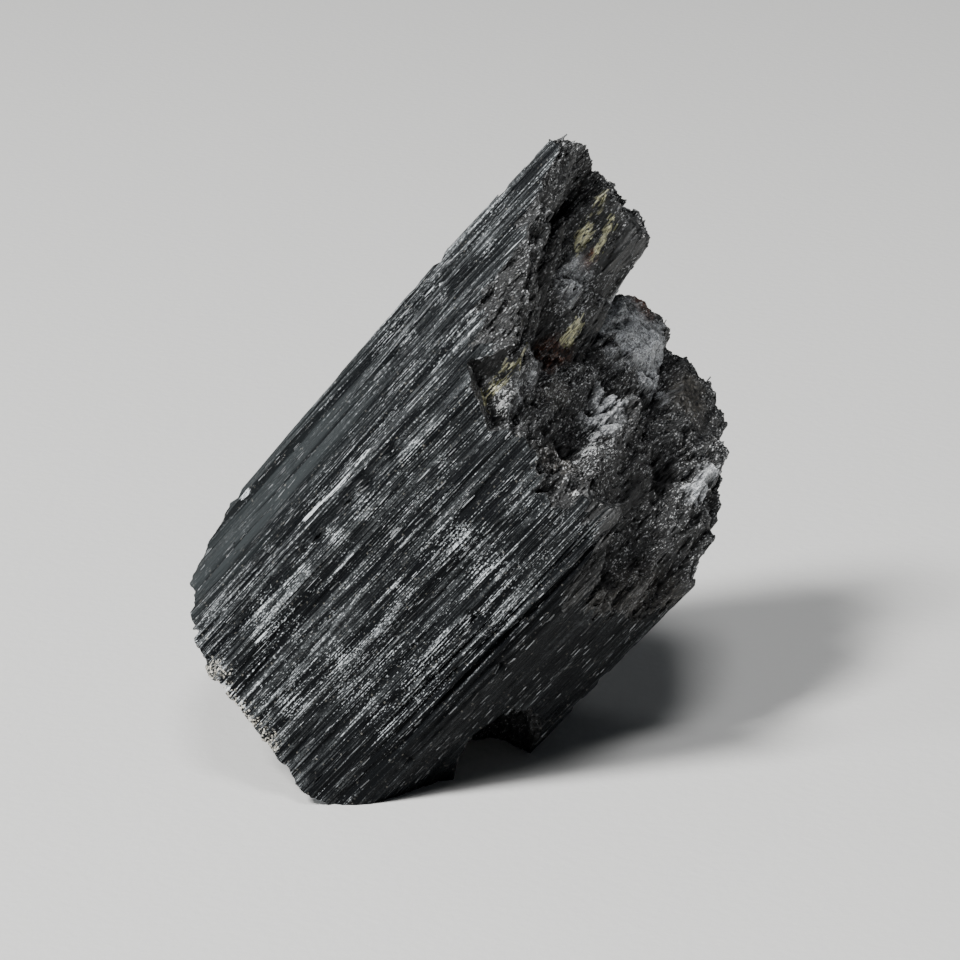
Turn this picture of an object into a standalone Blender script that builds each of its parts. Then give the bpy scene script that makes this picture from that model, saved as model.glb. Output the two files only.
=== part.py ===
"""A black tourmaline crystal: one thick, striated prism, broken off at both ends.

It leans to the right on its broken lower corner. The upper end is a hackly fracture, where a
thin slab and a spur are left standing on the left, and a shelf is broken out on the right.
The lower front edge has a small arched hollow.
Sizes are millimetres in the crystal's own frame: +Z along the crystal axis, +X out of the
broad front face, +Y across that face, down to the right once it stands.
"""

import math

import bpy
import bmesh
from mathutils import Matrix, Vector, noise

NAME = "tourmaline_crystal"
MM = 0.001

# How the crystal stands: its axis leans from the vertical, and it is spun about that axis.
AXIS_LEAN = math.radians(42.0)
AXIS_SPIN = math.radians(-103.7)
AXIS_MIDDLE = Vector((4.3, 0.07, 26.2))  # the axis's middle, over the centre of the base

# The section: its corners in X, Y, from the far left edge round by the front.
CORNERS = [
    (0.0, -20.5),
    (17.3, -10.8),
    (18.3, 6.8),
    (16.8, 12.0),
    (1.5, 20.7),
    (-16.5, 11.0),
    (-17.5, -9.5),
]
SECTION_REACH = 23.0  # half the side of a square that holds the section
PRISM_FOOT = -36.0
PRISM_TOP = 36.0
LEFT_TAPER = 0.0021  # share by which the left side draws in, for each millimetre below TAPER_TOP
TAPER_TOP = 13.0

# The ribs and grooves that run along the faces.
RIB_DEPTH = 0.42
RIB_WIDTH = 2.6
RIB_LENGTH = 34.0

# How finely the faces and the breaks are cut up.
COLUMN_WIDTH = 1.35
ROW_HEIGHT = 5.0
FRACTURE_CELL = 1.15
BLOCK_CELL = 1.9
SWELL_SEED = 4  # sets the slow swells of the broken faces, the same in every run

# The upper fracture, as heights along the axis over the section: a plane that falls towards
# the front, and beyond FAR_SIDE towards +Y as well.
FRACTURE_HEIGHT = 13.0
FALL_TO_FRONT = 0.33
FALL_TO_SIDE = 0.25
FAR_SIDE = 8.0
FRACTURE_RELIEF = 0.75

# What stands on it. A crest is a line of points X, Y, height. It is flat for half its width to
# each side, and beyond that it falls by so much a millimetre: on its left, and on its right.
CRESTS = {
    "slab_front": dict(
        line=[(16, -7.8, 17.0), (13.5, -9.6, 18.6), (9.5, -12.8, 21.2), (7.5, -14.2, 24.5)],
        half=0.5,
        falls=(2.8, 6.0),
    ),
    "slab_edge": dict(
        line=[(7.5, -14.2, 24.5), (5.5, -15.6, 27.5), (4.2, -16.6, 30.0)],
        half=0.5,
        falls=(2.8, 6.0),
    ),
    "slab_top": dict(
        line=[(3.8, -17.4, 30.0), (0.4, -19.6, 29.2), (-4, -17.0, 29.2), (-8, -13.8, 27.4)],
        half=1.1,
        falls=(5.0, 2.0),
    ),
    "spur": dict(line=[(-6.6, -12.8, 27.8), (-7.2, -8.5, 27.4)], half=2.0, falls=(5.0, 6.0)),
    "spur_back": dict(line=[(-7, -11, 27), (-14.5, -8.8, 21.5)], half=2.2, falls=(3.5, 3.0)),
    "middle_block": dict(line=[(-1.5, -10.5, 19.4), (-4.0, -7.2, 20.0)], half=2.0, falls=(3.0, 3.0)),
    "notch_back": dict(line=[(12.5, -8.6, 15.0), (9.5, -6.8, 14.0)], half=1.2, falls=(1.8, 1.8)),
    "grey_lump": dict(line=[(-8, -1.2, 17.0), (-15.5, -1.4, 20.0)], half=2.6, falls=(1.3, 1.3)),
    "back_lump": dict(line=[(-15.5, 6.5, 17.6), (-12.6, 11.5, 16.0)], half=1.6, falls=(1.4, 1.4)),
    "long_ridge": dict(
        line=[(14.5, 4.2, 9.8), (1, 3.7, 15.0), (-6, 2.4, 17.0)],
        half=1.1,
        falls=(1.6, 1.5),
    ),
    "left_ridge": dict(
        line=[(10, -2.6, 11.2), (6, -3.0, 13.0), (0.5, -1.3, 15.0)],
        half=0.8,
        falls=(1.3, 1.3),
    ),
    "right_ridge": dict(line=[(-9, 13.4, 16.6), (5, 14.2, 11.6)], half=0.8, falls=(4.0, 1.6)),
    "corner_knob": dict(line=[(16.8, 6.2, 9.4), (16.2, 9.0, 10.4)], half=1.0, falls=(2.5, 5.0)),
    "shelf_corner": dict(line=[(-2.4, 18.8, 10.6), (0.6, 20.2, 6.4)], half=0.8, falls=(2.2, 2.2)),
    "rim_bump": dict(line=[(17.4, -5.6, 8.9), (17.0, -0.6, 9.4)], half=1.2, falls=(1.0, 1.0)),
}

# The shelf low on the right: its height at the axis, how it falls along X and Y, the foot of
# the step behind it, and how steeply that step rises.
SHELF_HEIGHT = 21.5
SHELF_FALLS = (0.64, 0.93)
SHELF_EDGE = ((12.6, 10.2), (-2.0, 19.4))
SHELF_STEP = 3.0

# Pits in the fracture, each with a floor line of points X, Y, height, half its width, and how steeply
# its sides rise.
PITS = {
    "front_hollow": dict(line=[(14.5, 1.0, 6.8), (12.5, 2.0, 7.6)], half=1.2, rise=1.0),
    "long_pit": dict(line=[(8.6, 2.2, 7.4), (6.4, 1.9, 9.0)], half=0.7, rise=1.6),
    "cleft": dict(line=[(-0.6, 1.0, 11.6), (-3.4, 1.2, 13.0)], half=0.5, rise=2.0),
    "back_crack": dict(
        line=[(-15.4, 2.8, 16.8), (-13.8, 4.2, 15.2), (-8.6, 6.0, 13.2), (-5.0, 5.4, 11.6)],
        half=0.35,
        rise=1.9,
    ),
    "upper_pit": dict(line=[(-4.6, 5.6, 11.4), (-6.4, 6.0, 12.2)], half=1.0, rise=1.5),
    "right_pit": dict(line=[(-0.6, 10.8, 9.8), (-2.4, 11.0, 10.6)], half=0.8, rise=1.5),
    "lower_pit": dict(line=[(8.6, 8.8, 6.8), (5.0, 9.6, 8.0)], half=0.9, rise=1.5),
    "step_pit": dict(line=[(9.4, 13.0, 0.2), (6.8, 13.8, 1.6)], half=0.8, rise=1.6),
}

# The break across the foot: its height at the axis, and how it falls towards +Y.
FOOT_HEIGHT = -29.8
FOOT_FALL = 0.1
FOOT_RELIEF = 0.9

# Rough blocks taken off the sides: centre, size, turn about X, Y and Z in degrees, and how
# far the relief moves their faces.
BREAKS = {
    "notch": dict(centre=(18.4, -5.6, 12.9), size=(8.8, 7, 9), turn=(-25, 0, 0), relief=0.5),
    "foot_bevel": dict(centre=(0.0, -27.2, -27.0), size=(60, 20, 44), turn=(16, 0, 0), relief=0.7),
    "edge_step": dict(centre=(20.4, 7.9, 8.0), size=(6, 3.4, 34), turn=(0, 0, 16), relief=0.3),
    "back_step": dict(centre=(-19.6, -4.0, 4.0), size=(6, 9, 48), turn=(0, 0, -2), relief=0.3),
}

# The arched hollow under the lower front edge, as the crystal stands, with +Z up: centre from
# the axis's middle, half widths and turn.
HOLLOW = dict(centre=(-0.7, -11.0, -25.2), radii=(4.7, 8.5, 7.5), turn=(0, 12, 12), relief=0.8)


def clear_scene():
    """Starts from an empty scene."""
    for old in list(bpy.data.objects):
        bpy.data.objects.remove(old)


def standing():
    """The transform from the crystal's own frame, in millimetres, to where it stands."""
    lean = Matrix.Rotation(AXIS_LEAN, 4, "Y") @ Matrix.Rotation(AXIS_SPIN, 4, "Z")
    return Matrix.Translation(AXIS_MIDDLE * MM) @ lean @ Matrix.Scale(MM, 4)


def new_object(name, bm, collection, place):
    """Makes an object of bm, in triangles, with its transform applied to the mesh."""
    mesh = bpy.data.meshes.new(name)
    bm.transform(place)
    bmesh.ops.triangulate(bm, faces=bm.faces)
    bmesh.ops.recalc_face_normals(bm, faces=bm.faces)
    bm.to_mesh(mesh)
    bm.free()
    obj = bpy.data.objects.new(name, mesh)
    collection.objects.link(obj)
    return obj


def rib(along_edge, height, side):
    """How far a rib or groove stands out of side number side, at along_edge across it."""
    where = Vector((along_edge / RIB_WIDTH, 7.3 * side, height / RIB_LENGTH))
    return RIB_DEPTH * noise.noise(where) + 0.5 * RIB_DEPTH * noise.noise(where * 2.3)


def drawn_in(point, height):
    """The point with the left side's taper."""
    if point.y < 0:
        point.y *= 1.0 - LEFT_TAPER * max(0.0, TAPER_TOP - height)
    return point


def outline(height):
    """The ribbed section at one height, as points in X and Y."""
    points = []
    for side, start in enumerate(CORNERS):
        start = Vector(start)
        edge = Vector(CORNERS[(side + 1) % len(CORNERS)]) - start
        outward = Vector((edge.y, -edge.x)).normalized()
        columns = round(edge.length / COLUMN_WIDTH)
        for column in range(columns):
            along = edge.length * column / columns
            ends = min(1.0, min(along, edge.length - along) / RIB_WIDTH + 0.25)
            out = ends * rib(along, height, side)
            points.append(drawn_in(start + edge * column / columns + outward * out, height))
    return points


def striated_prism(collection, place):
    """The prism: a cylinder cut into rows, with each row's corners moved out to the outline."""
    columns = len(outline(0.0))
    bm = bmesh.new()
    bmesh.ops.create_cone(
        bm, cap_ends=True, segments=columns, radius1=1.0, radius2=1.0, depth=PRISM_TOP - PRISM_FOOT
    )
    rows = round((PRISM_TOP - PRISM_FOOT) / ROW_HEIGHT)
    for row in range(1, rows):
        height = (PRISM_TOP - PRISM_FOOT) * (row / rows - 0.5)
        everything = bm.verts[:] + bm.edges[:] + bm.faces[:]
        bmesh.ops.bisect_plane(bm, geom=everything, plane_co=(0, 0, height), plane_no=(0, 0, 1))
    middle = (PRISM_TOP + PRISM_FOOT) / 2
    for vert in bm.verts:
        height = vert.co.z + middle
        turn = math.atan2(vert.co.x, vert.co.y)
        column = round(turn / (2 * math.pi) * columns) % columns
        point = outline(height)[column]
        vert.co = (point.x, point.y, height)
    return new_object(NAME, bm, collection, place)


def broken(point, normal, depth):
    """Moves a point of a broken face: a slow swell, and hackles that run with the axis."""
    slow = noise.noise_vector(Vector(point) / 9.0) * depth * 0.8
    fine = noise.noise(Vector((point.x / 3.1, point.y / 3.1, point.z / 8.0))) * depth * 0.6
    return point + slow + normal * fine


def roughened(bm, placed, depth):
    """Puts bm in its place in the crystal's frame and breaks up its faces."""
    bm.transform(placed)
    bm.normal_update()
    moved = [broken(vert.co, vert.normal, depth) for vert in bm.verts]
    for vert, point in zip(bm.verts, moved):
        vert.co = point


def block(size):
    """A box of that size, cut into cells."""
    bm = bmesh.new()
    bmesh.ops.create_cube(bm, size=1.0, matrix=Matrix.Diagonal((*size, 1.0)))
    for axis in range(3):
        cells = max(1, round(size[axis] / BLOCK_CELL))
        for cell in range(1, cells):
            across = [0.0, 0.0, 0.0]
            across[axis] = size[axis] * (cell / cells - 0.5)
            straight = [float(axis == n) for n in range(3)]
            everything = bm.verts[:] + bm.edges[:] + bm.faces[:]
            bmesh.ops.bisect_plane(bm, geom=everything, plane_co=across, plane_no=straight)
    return bm


def turned(degrees):
    """A rotation from turns about X, Y and Z."""
    spins = [Matrix.Rotation(math.radians(d), 4, axis) for d, axis in zip(degrees, "XYZ")]
    return spins[2] @ spins[1] @ spins[0]


def arch(name, centre, radii, turn, relief, collection, place):
    """An egg-shaped cutter with a rough face."""
    bm = bmesh.new()
    bmesh.ops.create_icosphere(bm, subdivisions=3, radius=1.0, matrix=Matrix.Diagonal((*radii, 1.0)))
    roughened(bm, Matrix.Translation(centre) @ turned(turn), relief)
    return new_object(name, bm, collection, place)


def rough_block(name, centre, size, turn, relief, collection, place):
    """A broken-faced block, to be cut from the prism."""
    bm = block(size)
    roughened(bm, Matrix.Translation(centre) @ turned(turn), relief)
    return new_object(name, bm, collection, place)


def beside(line, x, y):
    """The height of a line at its point nearest to x, y, the distance, and whether x, y is on its left."""
    found = None
    for start, end in zip(line, line[1:]):
        run = Vector((end[0] - start[0], end[1] - start[1]))
        away = Vector((x - start[0], y - start[1]))
        share = min(1.0, max(0.0, away.dot(run) / run.length_squared))
        distance = (away - share * run).length
        if found is None or distance < found[1]:
            height = start[2] + share * (end[2] - start[2])
            found = (height, distance, run.cross(away) > 0)
    return found


def shelf(x, y):
    """The shelf's height, with the step behind it."""
    (start_x, start_y), (end_x, end_y) = SHELF_EDGE
    edge = Vector((end_x - start_x, end_y - start_y)).normalized()
    behind = max(0.0, -Vector((x - start_x, y - start_y)).cross(edge))
    return SHELF_HEIGHT - SHELF_FALLS[0] * x - SHELF_FALLS[1] * y + SHELF_STEP * behind


def hackle(x, y):
    """The fine relief of a fracture: small steps that run up towards the back."""
    return noise.noise(Vector((x / 4.6, y / 1.9, 0.0))) + 0.6 * noise.noise(Vector((x / 2.1, y / 1.1, 5.0)))


def fracture(x, y):
    """The height of the upper fracture."""
    height = FRACTURE_HEIGHT - FALL_TO_FRONT * x - FALL_TO_SIDE * max(0.0, y - FAR_SIDE)
    height = min(height, shelf(x, y))
    for crest in CRESTS.values():
        top, distance, on_left = beside(crest["line"], x, y)
        fall = crest["falls"][0 if on_left else 1]
        height = max(height, top - fall * max(0.0, distance - crest["half"]))
    for pit in PITS.values():
        floor, distance, _ = beside(pit["line"], x, y)
        height = min(height, floor + pit["rise"] * max(0.0, distance - pit["half"]))
    return height + FRACTURE_RELIEF * hackle(x, y)


def foot(x, y):
    """The height of the break across the foot."""
    swell = noise.noise(Vector((x / 7.0, y / 6.0, 20.0)))
    return FOOT_HEIGHT - FOOT_FALL * y + FOOT_RELIEF * (swell + 0.5 * hackle(y, x))


def break_across(name, height, far, collection, place):
    """A cutter with one face at height(x, y), which reaches along the axis to far."""
    bm = bmesh.new()
    cells = round(2 * SECTION_REACH / FRACTURE_CELL)
    bmesh.ops.create_grid(bm, x_segments=cells, y_segments=cells, size=SECTION_REACH)
    for vert in bm.verts:
        vert.co.z = height(vert.co.x, vert.co.y)
    pulled = bmesh.ops.extrude_face_region(bm, geom=bm.faces[:])
    for vert in pulled["geom"]:
        if isinstance(vert, bmesh.types.BMVert):
            vert.co.z = far
    return new_object(name, bm, collection, place)


def floor_cut(collection):
    """A plain box under the floor, which leaves the flat that the crystal stands on."""
    bm = bmesh.new()
    bmesh.ops.create_cube(bm, size=0.12, matrix=Matrix.Translation((0, 0, -0.06)))
    return new_object("floor_cut", bm, collection, Matrix.Identity(4))


def cut(obj, cutters):
    """Cuts each of the cutters from obj in turn, and hides it."""
    for cutter in cutters:
        modifier = obj.modifiers.new(cutter.name, "BOOLEAN")
        modifier.operation = "DIFFERENCE"
        modifier.object = cutter
        modifier.solver = "EXACT"
        cutter.hide_render = True
        cutter.display_type = "WIRE"


def new_collection(name):
    collection = bpy.data.collections.new(name)
    bpy.context.scene.collection.children.link(collection)
    return collection


def black_stone():
    """Near-black, glassy on the faces and dull in the breaks."""
    material = bpy.data.materials.new("black_tourmaline")
    material.use_nodes = True
    shader = material.node_tree.nodes["Principled BSDF"]
    shader.inputs["Base Color"].default_value = (0.035, 0.038, 0.042, 1.0)
    shader.inputs["Roughness"].default_value = 0.42
    shader.inputs["Metallic"].default_value = 0.0
    return material


def main():
    clear_scene()
    noise.seed_set(SWELL_SEED)
    place = standing()
    upright = Matrix.Translation(AXIS_MIDDLE * MM) @ Matrix.Scale(MM, 4)
    model = new_collection("tourmaline")
    helpers = new_collection("cutters")
    helpers.hide_render = True

    crystal = striated_prism(model, place)
    crystal.data.materials.append(black_stone())
    cutters = [
        break_across("upper_break", fracture, 2 * PRISM_TOP, helpers, place),
        break_across("foot_break", foot, 2 * PRISM_FOOT, helpers, place),
    ]
    cutters += [rough_block(name, **v, collection=helpers, place=place) for name, v in BREAKS.items()]
    cutters.append(arch("hollow", **HOLLOW, collection=helpers, place=upright))
    cutters.append(floor_cut(helpers))
    cut(crystal, cutters)


main()
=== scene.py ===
import math
import bpy
import bmesh
import numpy as np
from mathutils import Matrix, Vector, noise


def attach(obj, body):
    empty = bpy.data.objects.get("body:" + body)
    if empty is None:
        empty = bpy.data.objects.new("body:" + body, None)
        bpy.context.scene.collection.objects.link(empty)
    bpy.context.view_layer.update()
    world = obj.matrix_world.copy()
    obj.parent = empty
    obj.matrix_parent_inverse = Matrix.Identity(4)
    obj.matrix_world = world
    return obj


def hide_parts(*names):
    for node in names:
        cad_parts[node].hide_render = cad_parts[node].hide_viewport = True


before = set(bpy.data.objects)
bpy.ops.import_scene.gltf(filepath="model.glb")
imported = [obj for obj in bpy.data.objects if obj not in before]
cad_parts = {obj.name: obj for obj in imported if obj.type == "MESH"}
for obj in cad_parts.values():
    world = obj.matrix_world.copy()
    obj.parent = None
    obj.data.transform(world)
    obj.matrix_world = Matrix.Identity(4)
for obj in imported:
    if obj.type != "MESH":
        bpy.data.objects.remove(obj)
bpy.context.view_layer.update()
mm = 0.001
node = "tourmaline_crystal"
swellSeed = 4
noise.seed_set(swellSeed)
print("frame loaded:", node)

# The crystal is made in its own frame, in millimetres: Z along its axis, X out of the broad front
# face, Y across that face. It is then leaned over and spun to where it stands.
stance = {
    "lean": 42.0,
    "spin": -103.7,
    "axisMiddle": (4.3, 0.07, 26.2),
}


def turnMatrix():
    lean = Matrix.Rotation(math.radians(stance["lean"]), 4, "Y")
    return lean @ Matrix.Rotation(math.radians(stance["spin"]), 4, "Z")


def standingMatrix():
    return Matrix.Translation(Vector(stance["axisMiddle"]) * mm) @ turnMatrix() @ Matrix.Scale(mm, 4)


# ---- helpers that several pieces share


def noiseAt(x, y, z, width, seed=0.0):
    # smooth noise of about -1 to 1, with bumps as wide as width = (along x, along y, along z)
    x, y, z = np.broadcast_arrays(x / width[0], y / width[1], z / width[2] + seed)
    points = np.stack([x, y, z], axis=-1).reshape(-1, 3).tolist()
    return np.array([noise.noise(point) for point in points]).reshape(x.shape)


def columnAt(x, y, width, seed):
    # one random height of about -1 to 1 for each upright column of the stone
    x, y = np.broadcast_arrays(x / width[0], y / width[1])
    nearest = [noise.voronoi((a, b, seed))[1][0] for a, b in zip(x.ravel().tolist(), y.ravel().tolist())]
    return np.array([noise.noise(point * 5.7) * 1.6 for point in nearest]).reshape(x.shape)


def newPiece(name, points, faces, materialIndex=0):
    mesh = bpy.data.meshes.new(name)
    mesh.from_pydata([tuple(p) for p in points], [], faces)
    mesh.update()
    for material in stone.values():
        mesh.materials.append(material)
    mesh.polygons.foreach_set("material_index", [materialIndex] * len(mesh.polygons))
    piece = bpy.data.objects.new(name, mesh)
    bpy.context.scene.collection.objects.link(piece)
    return piece


def bakeModifiers(piece):
    # swaps the piece's mesh for what its modifiers make of it
    bpy.context.view_layer.update()
    evaluated = piece.evaluated_get(bpy.context.evaluated_depsgraph_get())
    mesh = bpy.data.meshes.new_from_object(evaluated)
    piece.modifiers.clear()
    piece.data = mesh


def sortMesh(mesh):
    # puts the points and triangles in an order that is the same in every run, and leaves out
    # pairs of triangles that lie back to back, with no thickness between them
    points = np.empty((len(mesh.vertices), 3), np.float32)
    mesh.vertices.foreach_get("co", points.ravel())
    corners = np.empty((len(mesh.polygons), 3), np.int32)
    mesh.loops.foreach_get("vertex_index", corners.ravel())
    slots = np.empty(len(mesh.polygons), np.int32)
    mesh.polygons.foreach_get("material_index", slots)
    order = np.lexsort(points.T)
    rank = np.empty(len(order), np.int32)
    rank[order] = np.arange(len(order))
    corners = rank[corners]
    turns = corners.argmin(axis=1)[:, None] + np.arange(3)
    corners = np.take_along_axis(corners, turns % 3, axis=1)
    same, uses = np.unique(np.sort(corners, axis=1), axis=0, return_inverse=True, return_counts=True)[1:]
    faces = np.lexsort(corners.T)
    faces = faces[uses[same.ravel()[faces]] == 1]
    mesh.clear_geometry()
    mesh.from_pydata(points[order].tolist(), [], corners[faces].tolist())
    mesh.polygons.foreach_set("material_index", slots[faces])
    mesh.update()


def cutAway(piece, cutters):
    for cutter in cutters:
        cut = piece.modifiers.new(cutter.name, "BOOLEAN")
        cut.operation = "DIFFERENCE"
        cut.solver = "MANIFOLD"
        cut.object = cutter
    bakeModifiers(piece)
    for cutter in cutters:
        bpy.data.objects.remove(cutter)


# ---- node helpers


def addNode(tree, kind, inputs=None, **settings):
    made = tree.nodes.new(kind)
    for name, value in settings.items():
        setattr(made, name, value)
    for key, value in (inputs or {}).items():
        if isinstance(value, bpy.types.NodeSocket):
            tree.links.new(value, made.inputs[key])
        else:
            made.inputs[key].default_value = value
    return made


def newTree(name, kind, inputs, outputs):
    # inputs and outputs are name: (socket kind, default value)
    tree = bpy.data.node_groups.new(name, kind)
    for way, sockets in (("INPUT", inputs), ("OUTPUT", outputs)):
        for label, (socketKind, value) in sockets.items():
            socket = tree.interface.new_socket(label, in_out=way, socket_type="NodeSocket" + socketKind)
            if value is not None:
                socket.default_value = value
    return tree, tree.nodes.new("NodeGroupInput").outputs, tree.nodes.new("NodeGroupOutput").inputs


def math2(operation, a, b):
    tree = (a if isinstance(a, bpy.types.NodeSocket) else b).id_data
    return addNode(tree, "ShaderNodeMath", {0: a, 1: b}, operation=operation).outputs[0]


def times(first, *others):
    for other in others:
        first = math2("MULTIPLY", first, other)
    return first


def plus(first, *others):
    for other in others:
        first = math2("ADD", first, other)
    return first


def remap(value, low, high, newLow=0.0, newHigh=1.0):
    inputs = {"Value": value, "From Min": low, "From Max": high, "To Min": newLow, "To Max": newHigh}
    return addNode(value.id_data, "ShaderNodeMapRange", inputs).outputs[0]


def between(value, low, high):
    return remap(value, 0.0, 1.0, low, high)


def vectorMath(operation, a, b):
    key = "Scale" if operation == "SCALE" else 1
    return addNode(a.id_data, "ShaderNodeVectorMath", {0: a, key: b}, operation=operation)


def addModifier(piece, tree, values):
    modifier = piece.modifiers.new(tree.name, "NODES")
    modifier.node_group = tree
    for socket in tree.interface.items_tree:
        if socket.in_out == "INPUT" and socket.name in values:
            modifier[socket.identifier] = values[socket.name]
    return modifier


# ---- shader groups


def stoneSpaceGroup():
    # a point's place in the crystal's own frame, in millimetres
    tree, _, out = newTree("stoneSpace", "ShaderNodeTree", {}, {"Vector": ("Vector", None)})
    back = turnMatrix().inverted()
    place = addNode(
        tree, "ShaderNodeMapping", {"Vector": addNode(tree, "ShaderNodeTexCoord").outputs["Object"]}
    )
    place.inputs["Location"].default_value = -(back @ Vector(stance["axisMiddle"]))
    place.inputs["Rotation"].default_value = back.to_euler()
    place.inputs["Scale"].default_value = (1 / mm, 1 / mm, 1 / mm)
    tree.links.new(place.outputs[0], out["Vector"])
    return tree


def streakGroup():
    # fine lines that run with the axis
    inputs = {
        "Vector": ("Vector", None),
        "Width": ("Float", 0.3),
        "Length": ("Float", 8.0),
        "Seed": ("Float", 0.0),
    }
    tree, given, out = newTree("axisStreaks", "ShaderNodeTree", inputs, {"Mask": ("Float", None)})
    size = addNode(tree, "ShaderNodeCombineXYZ", {0: given["Width"], 1: given["Width"], 2: given["Length"]})
    scaled = addNode(
        tree, "ShaderNodeVectorMath", {0: given["Vector"], 1: size.outputs[0]}, operation="DIVIDE"
    )
    shifted = addNode(
        tree, "ShaderNodeVectorMath", {0: scaled.outputs[0], 1: given["Seed"]}, operation="ADD"
    )
    lines = addNode(tree, "ShaderNodeTexNoise", {"Vector": shifted.outputs[0], "Scale": 1.0, "Detail": 2.5})
    tree.links.new(lines.outputs[0], out["Mask"])
    return tree


def grainGroup():
    # small angular grains, each with a tone of its own, and their relief
    inputs = {"Vector": ("Vector", None), "Size": ("Float", 0.3), "Stretch": ("Float", 1.0)}
    outputs = {"Tone": ("Float", None), "Spread": ("Float", None), "Height": ("Float", None)}
    tree, given, out = newTree("stoneGrain", "ShaderNodeTree", inputs, outputs)
    tall = times(given["Size"], given["Stretch"])
    size = addNode(tree, "ShaderNodeCombineXYZ", {0: given["Size"], 1: given["Size"], 2: tall})
    scaled = addNode(
        tree, "ShaderNodeVectorMath", {0: given["Vector"], 1: size.outputs[0]}, operation="DIVIDE"
    )
    cells = addNode(
        tree, "ShaderNodeTexVoronoi", {"Vector": scaled.outputs[0], "Scale": 1.0}, distance="CHEBYCHEV"
    )
    tone = addNode(tree, "ShaderNodeSeparateColor", {0: cells.outputs["Color"]})
    tree.links.new(tone.outputs[0], out["Tone"])
    tree.links.new(tone.outputs[1], out["Spread"])
    fine = addNode(tree, "ShaderNodeTexNoise", {"Vector": scaled.outputs[0], "Scale": 2.3, "Detail": 3.0})
    height = math2("MULTIPLY_ADD", cells.outputs["Distance"], -0.7)
    height.node.inputs[2].default_value = 0.0
    tree.links.new(plus(height, fine.outputs[0]), out["Height"])
    return tree


shaderGroups = {"space": stoneSpaceGroup(), "streaks": streakGroup(), "grain": grainGroup()}


def useGroup(tree, name, inputs=None):
    made = tree.nodes.new("ShaderNodeGroup")
    made.node_tree = shaderGroups[name]
    for key, value in (inputs or {}).items():
        if isinstance(value, bpy.types.NodeSocket):
            tree.links.new(value, made.inputs[key])
        else:
            made.inputs[key].default_value = value
    return made.outputs


def mixColour(tree, factor, a, b):
    mix = tree.nodes.new("ShaderNodeMix")
    mix.data_type = "RGBA"
    for socket, value in ((mix.inputs[0], factor), (mix.inputs[6], a), (mix.inputs[7], b)):
        if isinstance(value, bpy.types.NodeSocket):
            tree.links.new(value, socket)
        else:
            socket.default_value = (*value, 1.0) if isinstance(value, tuple) else value
    return mix.outputs[2]


def newMaterial(name):
    material = bpy.data.materials.new(name)
    material.use_nodes = True
    tree = material.node_tree
    shader = tree.nodes["Principled BSDF"]
    return material, tree, shader


def mask(tree, name):
    return addNode(tree, "ShaderNodeAttribute", attribute_name=name).outputs["Fac"]


def streaks(tree, at, width, length, seed):
    return useGroup(tree, "streaks", {"Vector": at, "Width": width, "Length": length, "Seed": seed})["Mask"]


def grains(tree, at, size, stretch):
    return useGroup(tree, "grain", {"Vector": at, "Size": size, "Stretch": stretch})


def mottling(tree, at, scale):
    return addNode(
        tree, "ShaderNodeTexNoise", {"Vector": at, "Scale": scale, "Detail": 5.0, "Roughness": 0.6}
    ).outputs[0]


def strandMask(tree, name, lines, specks, low):
    # a mark broken up into strands and specks, with crisp edges
    broken = plus(remap(lines, 0.3, 0.7, 0.3, 1.2), times(specks, 0.4))
    return remap(times(mask(tree, name), broken), low, low + 0.16)


def speckled(amount, specks):
    # an amount from 0 to 1 as the share of the grains that take it, each grain whole
    taken = plus(specks["Tone"], times(amount, 0.74))
    return times(remap(taken, 0.98, 1.08), between(specks["Spread"], 0.35, 1.0))


def stripedMask(tree, name, lines, low):
    # a mark broken up into parallel stripes
    return times(remap(mask(tree, name), 0.35, 0.65), remap(lines, low, low + 0.06))


def finishShader(tree, shader, look, colour, rough, height):
    bump = {"Strength": look["bump"], "Distance": look["bumpDepth"] * mm, "Height": height}
    tree.links.new(colour, shader.inputs["Base Color"])
    tree.links.new(rough, shader.inputs["Roughness"])
    tree.links.new(addNode(tree, "ShaderNodeBump", bump).outputs[0], shader.inputs["Normal"])
    shader.inputs["IOR"].default_value = look["ior"]
    shader.inputs["Specular IOR Level"].default_value = look["specular"]


# ---- materials of the stone

ribbedLook = {
    "black": (0.003, 0.0037, 0.0046),
    "grey": (0.150, 0.161, 0.167),
    "satin": (0.032, 0.037, 0.039),
    "glint": (0.72, 0.76, 0.79),
    "crust": (0.74, 0.71, 0.63),
    # width, length, seed
    "streaks": [(0.9, 26.0, 0.0), (0.13, 8.0, 3.0), (0.42, 6.0, 11.0), (2.2, 60.0, 21.0)],
    "salt": (0.085, 1.8),  # size and stretch of the finest grains
    "crumbs": (0.16, 1.0),
    "mottleScale": 0.30,
    "roughness": (0.22, 0.55),
    "specular": 0.045,
    "bump": 1.0,
    "bumpDepth": 0.10,
    "ior": 1.64,
}

brokenLook = {
    "black": (0.006, 0.0065, 0.007),
    "grey": (0.033, 0.035, 0.037),
    "sparkle": (0.88, 0.90, 0.92),
    "mica": (0.96, 0.93, 0.58),
    # colour of the painted highlights
    "paintedHighlight": (0.80, 0.82, 0.83),
    # light end of a dusting that is partly painted light
    "dustAndPaintedLight": (0.90, 0.93, 0.97),
    "dull": (0.080, 0.085, 0.093),
    "rust": (0.30, 0.100, 0.035),
    "tan": (0.090, 0.080, 0.065),
    "crust": (0.74, 0.71, 0.63),
    "hackles": (0.24, 5.0, 5.0),  # width, length, seed
    "planks": (0.30, 24.0, 8.0),
    "grain": (0.36, 4.5),  # size and stretch
    "tiny": (0.095, 2.0),
    "crumbs": (0.16, 1.0),
    "mottleScale": 0.35,
    "roughness": (0.22, 0.65),
    "specular": 0.42,
    "bump": 1.0,
    "bumpDepth": 0.16,
    "ior": 1.64,
}


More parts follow.
